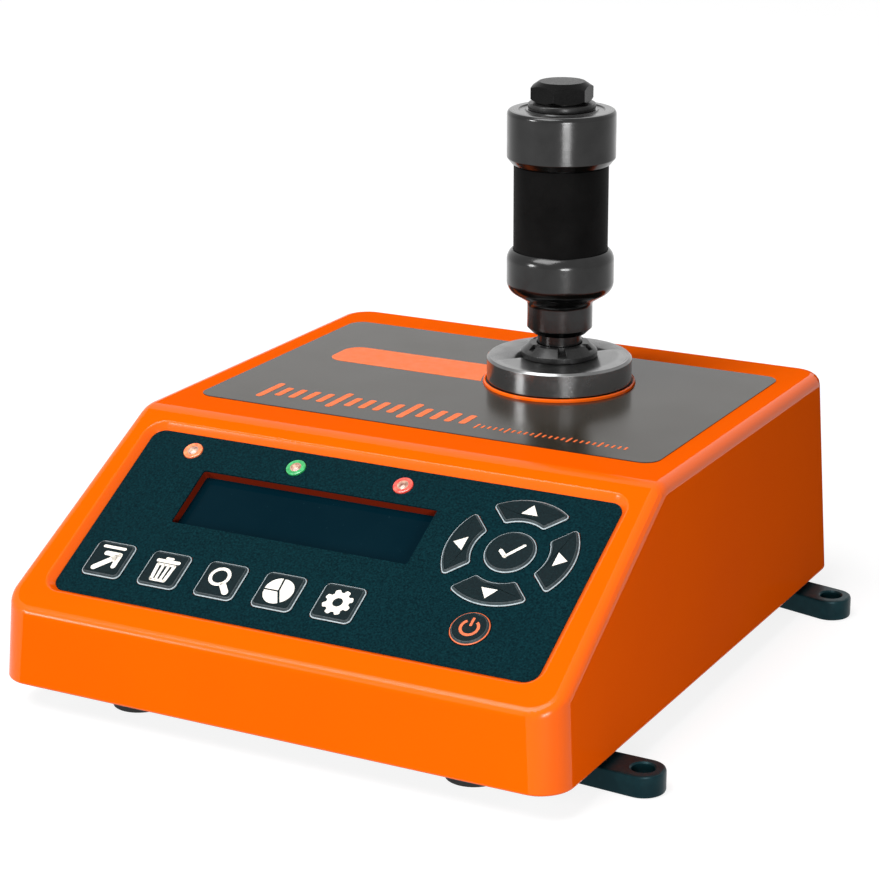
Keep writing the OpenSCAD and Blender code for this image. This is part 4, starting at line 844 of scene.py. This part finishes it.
# Drive and adapter: turned pieces on one axis, from the transducer up to the test bolt
adapter = {
    "heights": {"discFoot": 73.65, "disc": 81.25, "collar": 85.45, "seat": 108.592, "tube": 141.392,
                "capFoot": 141.792, "ceiling": 143.992, "cap": 158.292, "washer": 160.292,
                "headFoot": 160.342, "head": 166.742},
    "radii": {"disc": 22.55, "collarHole": 7.1, "collar": 11.8, "neck": 6.8, "highNeck": 10.1,
              "brimBend": 4.2, "brim": 14.95, "boltHole": 5.05, "tube": 14.5, "tubeHole": 12.8, "cap": 16.6,
              "capHole": 5.3, "washer": 10.3, "bolt": 5},
    "square": 9.5, "flats": 17, "boltTurn": 39, "notches": 6}
z, radii = adapter["heights"], adapter["radii"]


def paintTop(thing, low):
    # faces that look straight up above a height get the second material
    for face in thing.data.polygons:
        if face.normal.z > 0.9 and face.center.z > low * mm:
            face.material_index = 1
    return thing


body = lathe("transducer", softProfile([
    (0, 11.8), (28, 11.8), (28, 19.8), (12.5, 19.8, 2), (12.5, 55.65, 0.2), (16, 55.65),
    (16, z["discFoot"], 0.2), (radii["disc"], z["discFoot"], 0.3),
    (radii["disc"], z["disc"] - 0.7, 0.15), (radii["disc"] - 0.7, z["disc"], 0.15),
    (0, z["disc"])]), ["disc", "faced"])
socketW = adapter["square"] + 0.2
square = slab("square", roundedRect((socketW, socketW), 0.4), 69.25, 83, drivePlace)
setPiece(paintTop(cutAway(body, [square]), z["disc"] - 0.25), "base", "transducer", "transducer_body")

collar = turnedRing("collar", [
    (radii["collarHole"], z["disc"]), (radii["collar"], z["disc"]), (radii["collar"], 82.95, 0.35),
    (9.2, z["collar"], 0.3), (radii["collarHole"], z["collar"])], ["darkSteel"])
notches = []
for i in range(adapter["notches"]):
    turned = drivePlace @ Matrix.Rotation(i * 2 * pi / adapter["notches"], 4, "Z")
    notches.append(slab("notch", roundedRect((8, 2.2), 0.5, (12.1, 0)), z["collar"] - 1.5, 87, turned))
setPiece(cutAway(collar, [joinMeshes("notches", notches)]), "base", "collar", "locking_collar")

neck = softProfile([(0, z["disc"] + 0.05), (radii["neck"], z["disc"] + 0.05, 0.3), (radii["neck"], 88.7),
                    (8.2, 88.7, 0.15), (radii["highNeck"], 90.6, 0.3), (radii["highNeck"], 96)])
inner = arcPoints((12.4, 97.5), 2.3, pi, radians(122), 8)
outer = arcPoints((12.3, 105.102), radii["brimBend"], radians(-58), 0, 10)
brim = arcPoints((12.3, 111.802), radii["brimBend"], 0, pi / 4, 8)
mouth = [(radii["brim"], 115.02), (14.85, 115.092), (14.65, 115.092), (14.55, 115), (14.55, z["seat"]),
         (radii["boltHole"], z["seat"]), (radii["boltHole"], 92.342), (0, 92.342)]
cup = lathe("cup", neck + [tuple(point) for point in inner + outer + brim] + mouth, ["steel"])
drive = stack("drive", roundedRect((adapter["square"], adapter["square"]), 0.5), [
    (-0.6, 70.3), (0, 70.9), (0, z["disc"] + 0.1)], ["steel"], drivePlace)
setPiece(joinMeshes("adapter_cup_turned", [cup, drive]), "adapter", "adapter", "adapter_cup")

tube = turnedRing("adapter_tube", [
    (radii["tubeHole"], z["seat"]), (radii["tube"], z["seat"]), (radii["tube"], z["tube"]),
    (radii["tubeHole"], z["tube"])], ["sleeve"], 0.3)
setPiece(tube, "adapter", "sleeve", "adapter_sleeve")

cap = turnedRing("adapter_cap_turned", [
    (15.1, z["capFoot"]), (radii["cap"], z["capFoot"] + 1.9, 0.5), (radii["cap"], z["cap"], 1.6),
    (13.2, z["cap"], 0.15), (12.8, z["cap"] - 0.4, 0.1), (11.2, z["cap"] - 0.4, 0.1), (10.8, z["cap"], 0.15),
    (radii["capHole"], z["cap"]), (radii["capHole"], z["ceiling"]), (14.58, z["ceiling"]),
    (14.58, z["capFoot"])], ["steel", "faced"], steps=6)
setPiece(paintTop(cap, z["cap"] - 1.292), "cap", "adapter", "adapter_cap")

washer = turnedRing("thrust_washer_turned", [
    (radii["capHole"], z["cap"]), (radii["washer"], z["cap"], 0.6), (radii["washer"], z["washer"], 0.6),
    (radii["capHole"], z["washer"])], ["darkSteel"])
setPiece(washer, "cap", "washer", "thrust_washer")

hexagon = []
for i in range(6):
    turn = radians(adapter["boltTurn"] + 60 * i)
    corner = adapter["flats"] / 2 / cos(pi / 6) - 0.35
    hexagon += arcPoints((corner * cos(turn), corner * sin(turn)), 0.3, turn - pi / 6, turn + pi / 6, 4)
head = slab("head", hexagon, z["headFoot"] + 0.4, z["head"], drivePlace)
head.data.materials[0] = finishes["oxide"]
crown = lathe("crown", softProfile([
    (0, 160), (8.3, 160.5, 0.1), (10.2, 161.9, 0.1), (10.2, 164.6, 0.1), (7.0, z["head"], 0.4),
    (0, z["head"])]), ["oxide"])
head = cutAway(head, [crown], "INTERSECT")
shank = lathe("shank", softProfile([
    (0, 95.342), (4.2, 95.342), (radii["bolt"], 96.2), (radii["bolt"], z["headFoot"], 0.1),
    (8.1, z["headFoot"]), (8.1, 160.8), (0, 160.8)], 0.1), ["oxide"], segments=64)
setPiece(joinMeshes("test_bolt_turned", [head, shank]), "bolt", "bolt", "test_bolt")
print("adapter made")

# Lugs: flat arms with a rounded eye, swivelling on screws under the base
lug = {"reach": 24, "tipR": 6.3, "rootR": 5.8, "low": 0.2, "high": 6.7, "holeR": 3.3, "chamfer": 0.45,
       "screwHeadR": 4.45, "screwHeadTop": 2.7, "screwR": 3.05,
       "pivots": {"front_right_lug": (75, -67.5, -3), "front_left_lug": (-75, -67.5, 183),
                  "rear_right_lug": (75, 83, -13), "rear_left_lug": (-75, 83, 193)}}
lean = asin((lug["tipR"] - lug["rootR"]) / lug["reach"])
lugOutline = (arcPoints((lug["reach"], 0), lug["tipR"], -pi / 2 - lean, pi / 2 + lean, 24)
              + arcPoints((0, 0), lug["rootR"], pi / 2 + lean, 3 * pi / 2 - lean, 24))
for name, (x, y, aim) in lug["pivots"].items():
    place = Matrix.Translation((x, y, 0)) @ Matrix.Rotation(radians(aim), 4, "Z")
    low, high = lug["low"], lug["high"]
    arm = stack(name + "_arm", lugOutline, [
        (-0.6, low), (-0.18, low + 0.18), (0, low + 0.6), (0, high - 0.8), (-0.23, high - 0.23),
        (-0.8, high)], ["lug"], place)
    r, c = lug["holeR"], lug["chamfer"]
    eye = lathe("eye", [
        (0, low - 1), (r + c + 1, low - 1), (r, low + c), (r, high - c), (r + c + 1, high + 1),
        (0, high + 1)], ["lug"], place @ Matrix.Translation((lug["reach"], 0, 0)), 48)
    pivot = lathe("pivot", [
        (0, low - 1), (lug["screwHeadR"], low - 1), (lug["screwHeadR"], lug["screwHeadTop"]),
        (lug["screwR"], lug["screwHeadTop"]), (lug["screwR"], high + 1), (0, high + 1)], ["lug"], place, 48)
    setPiece(cutAway(arm, [eye, pivot]), name, "lug", name)
print("lugs made")

# Marks on the label: a bar that runs into the drive's ring, and two plain scales for lettering
marks = {"level": 72.65, "height": 0.05,
         "bar": {"left": -61.5, "low": 39.0, "high": 56.4, "cornerR": 5.5, "ringR": 24.3},
         "long": {"Count": 15, "Spacing": 4.9, "Width": 2.3, "Length": 9.0, "Long": 1.7,
                  "Start": (-58.5, 0.5)},
         "short": {"Count": 25, "Spacing": 2.0, "Width": 0.7, "Length": 2.4, "Long": 1.8,
                   "Start": (15.5, -4.0)}}


def tickTree():
    tree = bpy.data.node_groups.new("tickRow", "GeometryNodeTree")
    face = tree.interface
    face.new_socket("Geometry", in_out="OUTPUT", socket_type="NodeSocketGeometry")
    kinds = {"Geometry": "Geometry", "Count": "Int", "Start": "Vector", "Ink": "Material"}
    for name in ("Geometry", "Count", "Spacing", "Width", "Length", "Long", "Height", "Start", "Ink"):
        face.new_socket(name, in_out="INPUT", socket_type="NodeSocket" + kinds.get(name, "Float"))
    given = addNode(tree, "NodeGroupInput")
    step = addNode(tree, "ShaderNodeCombineXYZ", None, {"X": given["Spacing"]})[0]
    line = addNode(tree, "GeometryNodeMeshLine", {"mode": "OFFSET"}, {
        "Count": given["Count"], "Start Location": given["Start"], "Offset": step})[0]
    outline = addNode(tree, "GeometryNodeCurvePrimitiveQuadrilateral", {"mode": "RECTANGLE"}, {
        "Width": given["Width"], "Height": given["Length"]})[0]
    soft = addNode(tree, "GeometryNodeFilletCurve", {"mode": "POLY"}, {
        "Curve": outline, "Count": 3, "Radius": given["Width"] * 0.35})[0]
    flat = addNode(tree, "GeometryNodeFillCurve", {"mode": "NGONS"}, {"Curve": soft})[0]
    thick = addNode(tree, "GeometryNodeExtrudeMesh", {"mode": "FACES"}, {
        "Mesh": flat, "Offset Scale": given["Height"], "Individual": False})[0]
    under = addNode(tree, "GeometryNodeFlipFaces", None, {"Mesh": flat})[0]
    both = tree.nodes.new("GeometryNodeJoinGeometry")
    tree.links.new(under.socket, both.inputs[0])
    tree.links.new(thick.socket, both.inputs[0])
    block = addNode(tree, "GeometryNodeMergeByDistance", None, {
        "Geometry": Wire(tree, both.outputs[0]), "Distance": 1e-7})[0]
    index = addNode(tree, "GeometryNodeInputIndex")[0]
    fifth = index.combine("MODULO", 5).combine("LESS_THAN", 0.5)
    size = addNode(tree, "ShaderNodeCombineXYZ", None, {
        "X": 1.0, "Y": fifth * (given["Long"] - 1) + 1, "Z": 1.0})[0]
    rows = addNode(tree, "GeometryNodeInstanceOnPoints", None, {
        "Points": line, "Instance": block, "Scale": size})[0]
    real = addNode(tree, "GeometryNodeRealizeInstances", None, {"Geometry": rows})[0]
    inked = addNode(tree, "GeometryNodeSetMaterial", None, {"Geometry": real, "Material": given["Ink"]})[0]
    addNode(tree, "NodeGroupOutput", None, {"Geometry": inked})
    return tree


def tickRow(name, tree, values):
    thing = addObject(name, bpy.data.meshes.new(name))
    rows = thing.modifiers.new("rows", "NODES")
    rows.node_group = tree
    given = {key: value * (mm if key in ("Spacing", "Width", "Length") else 1)
             for key, value in values.items() if key != "Start"}
    given["Height"] = marks["height"] * mm
    given["Start"] = (values["Start"][0] * mm, values["Start"][1] * mm, marks["level"] * mm)
    given["Ink"] = finishes["pill"]
    for socket in tree.interface.items_tree:
        if socket.in_out == "INPUT" and socket.name in given:
            rows[socket.identifier] = given[socket.name]
    plain = plainMesh(thing)
    bpy.data.objects.remove(thing)
    return tidyMesh(name, plain)


pill = marks["bar"]
middle = Vector((driveAxis[0], driveAxis[1])) / mm
top = asin((pill["high"] - middle.y) / pill["ringR"])
bottom = asin((pill["low"] - middle.y) / pill["ringR"])
r = pill["cornerR"]
outline = (arcPoints((pill["left"] + r, pill["high"] - r), r, pi / 2, pi, 10)
           + arcPoints((pill["left"] + r, pill["low"] + r), r, pi, 3 * pi / 2, 10)
           + arcPoints(middle, pill["ringR"], pi - bottom, pi - top, 12))
barMark = printed("label_bar", outline, "pill", marks["level"], marks["level"], Matrix.Identity(4))
setPiece(barMark, "base", "label")
tree = tickTree()
for name in ("long", "short"):
    setPiece(tickRow("label_" + name + "_scale", tree, marks[name]), "base", "label")
print("label marked")

# Disc springs: cupped washers turned about in turn, built as they stand; nothing here flattens them as the
# cap comes down
springs = {"count": 19, "foot": 108.617, "pitch": 1.863, "outer": 11.5, "hole": 5.2, "thick": 1.25,
           "cone": 0.563, "squeezed": 0.943}
washers = []
for i in range(springs["count"]):
    low = springs["foot"] + i * springs["pitch"]
    inner, outer = (low + springs["cone"], low) if i % 2 == 0 else (low, low + springs["cone"])
    washers.append(lathe("washer", [
        (springs["hole"], inner), (springs["outer"], outer), (springs["outer"], outer + springs["thick"]),
        (springs["hole"], inner + springs["thick"])], ["zinc"], segments=72, closed=True))
stacked = setPiece(joinMeshes("disc_springs_stack", washers), "adapter", "spring", "disc_springs")
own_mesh(stacked)
print("springs stacked")

# Finishes for the nodes that keep their solids
kept = {
    "plate": ["base_plate"],
    "zinc": ["base_screws", "foot_screws", "lug_screws", "display_screws", "keypad_screws", "snap_domes",
             "board_screws", "usb_socket"],
    "rubber": ["rubber_feet", "dust_seal"], "label": ["top_label"], "overlay": ["control_overlay"],
    "glass": ["display_window"], "cell": ["display_module"], "board": ["keypad_board", "main_board"],
    "cable": ["keypad_ribbon", "display_ribbon", "transducer_lead", "battery_lead"],
    "oxide": ["transducer_screws"], "gauge": ["strain_gauges"], "brass": ["board_standoffs"],
    "chip": ["board_components", "battery_holder", "charger_socket"], "wrap": ["battery_cells"]}
for finish, names in kept.items():
    for name in names:
        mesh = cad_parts[name].data
        mesh.materials.clear()
        mesh.materials.append(finishes[finish])
print("kept nodes dressed:", sum(map(len, kept.values())))

# Floor, light and camera
floorMesh = bpy.data.meshes.new("floor")
floorMesh.from_pydata([(-6, -6, 0), (6, -6, 0), (6, 6, 0), (-6, 6, 0)], [], [(0, 1, 2, 3)])
floor = addObject("floor", floorMesh)
f = Finish("floorPaint", Roughness=0.9, Specular_IOR_Level=0.1)
f.put("Base Color", f.mix(f.range(f.noise(0.4), 0, 1), grey(0.26), grey(0.24)))


def seenRays(tree):
    # 1 for rays that show the background itself: seen directly, in a reflection or through glass
    path = addNode(tree, "ShaderNodeLightPath")
    seen = path["Is Camera Ray"].combine("MAXIMUM", path["Is Glossy Ray"])
    return seen.combine("MAXIMUM", path["Is Transmission Ray"])


glow = f.add("ShaderNodeEmission", None, {"Color": (1, 1, 1, 1), "Strength": seenRays(f.tree) * 0.85})[0]
both = f.add("ShaderNodeAddShader", None, {0: Wire(f.tree, f.shader.outputs[0]), 1: glow})[0]
f.tree.links.new(both.socket, f.tree.nodes["Material Output"].inputs["Surface"])
floorMesh.materials.append(f.material)

world = bpy.data.worlds.new("studio")
bpy.context.scene.world = world
world.use_nodes = True
tree = world.node_tree
back = tree.nodes["Background"]
back.inputs["Color"].default_value = (1, 1, 1, 1)
tree.links.new((seenRays(tree) * 0.9 + 0.1).socket, back.inputs["Strength"])

studio = {
    "key": {"spot": (-0.5, -1.1, 2.2), "size": (1.6, 1.6), "power": 66},
    "side": {"spot": (0.45, -0.55, 0.1), "size": (0.2, 0.15), "power": 2.4},
    "front": {"spot": (-1.15, -1.4, 0.5), "size": (0.4, 0.4), "power": 12}}
for name, lamp in studio.items():
    light = bpy.data.lights.new(name, "AREA")
    light.shape = "RECTANGLE"
    light.size, light.size_y = lamp["size"]
    light.energy = lamp["power"]
    thing = addObject(name, light)
    thing.location = lamp["spot"]
    thing.rotation_euler = (Vector((0, 0, 0.08)) - Vector(lamp["spot"])).to_track_quat("-Z", "Y").to_euler()

view = {"spot": (357.07, -666.12, 301.94), "azimuth": 28.13, "elevation": 17.41, "roll": -0.21,
        "lens": 108.19}
camera = bpy.data.cameras.new("camera")
camera.lens = view["lens"]
camera.sensor_width = 36
camera.clip_end = 20
thing = addObject("camera", camera)
thing.matrix_world = (Matrix.Translation(Vector(view["spot"]) * mm)
                      @ Matrix.Rotation(radians(view["azimuth"]), 4, "Z")
                      @ Matrix.Rotation(radians(90 - view["elevation"]), 4, "X")
                      @ Matrix.Rotation(radians(view["roll"]), 4, "Z"))
bpy.context.scene.camera = thing
bpy.context.scene.view_settings.view_transform = "Standard"

print("scene ready")
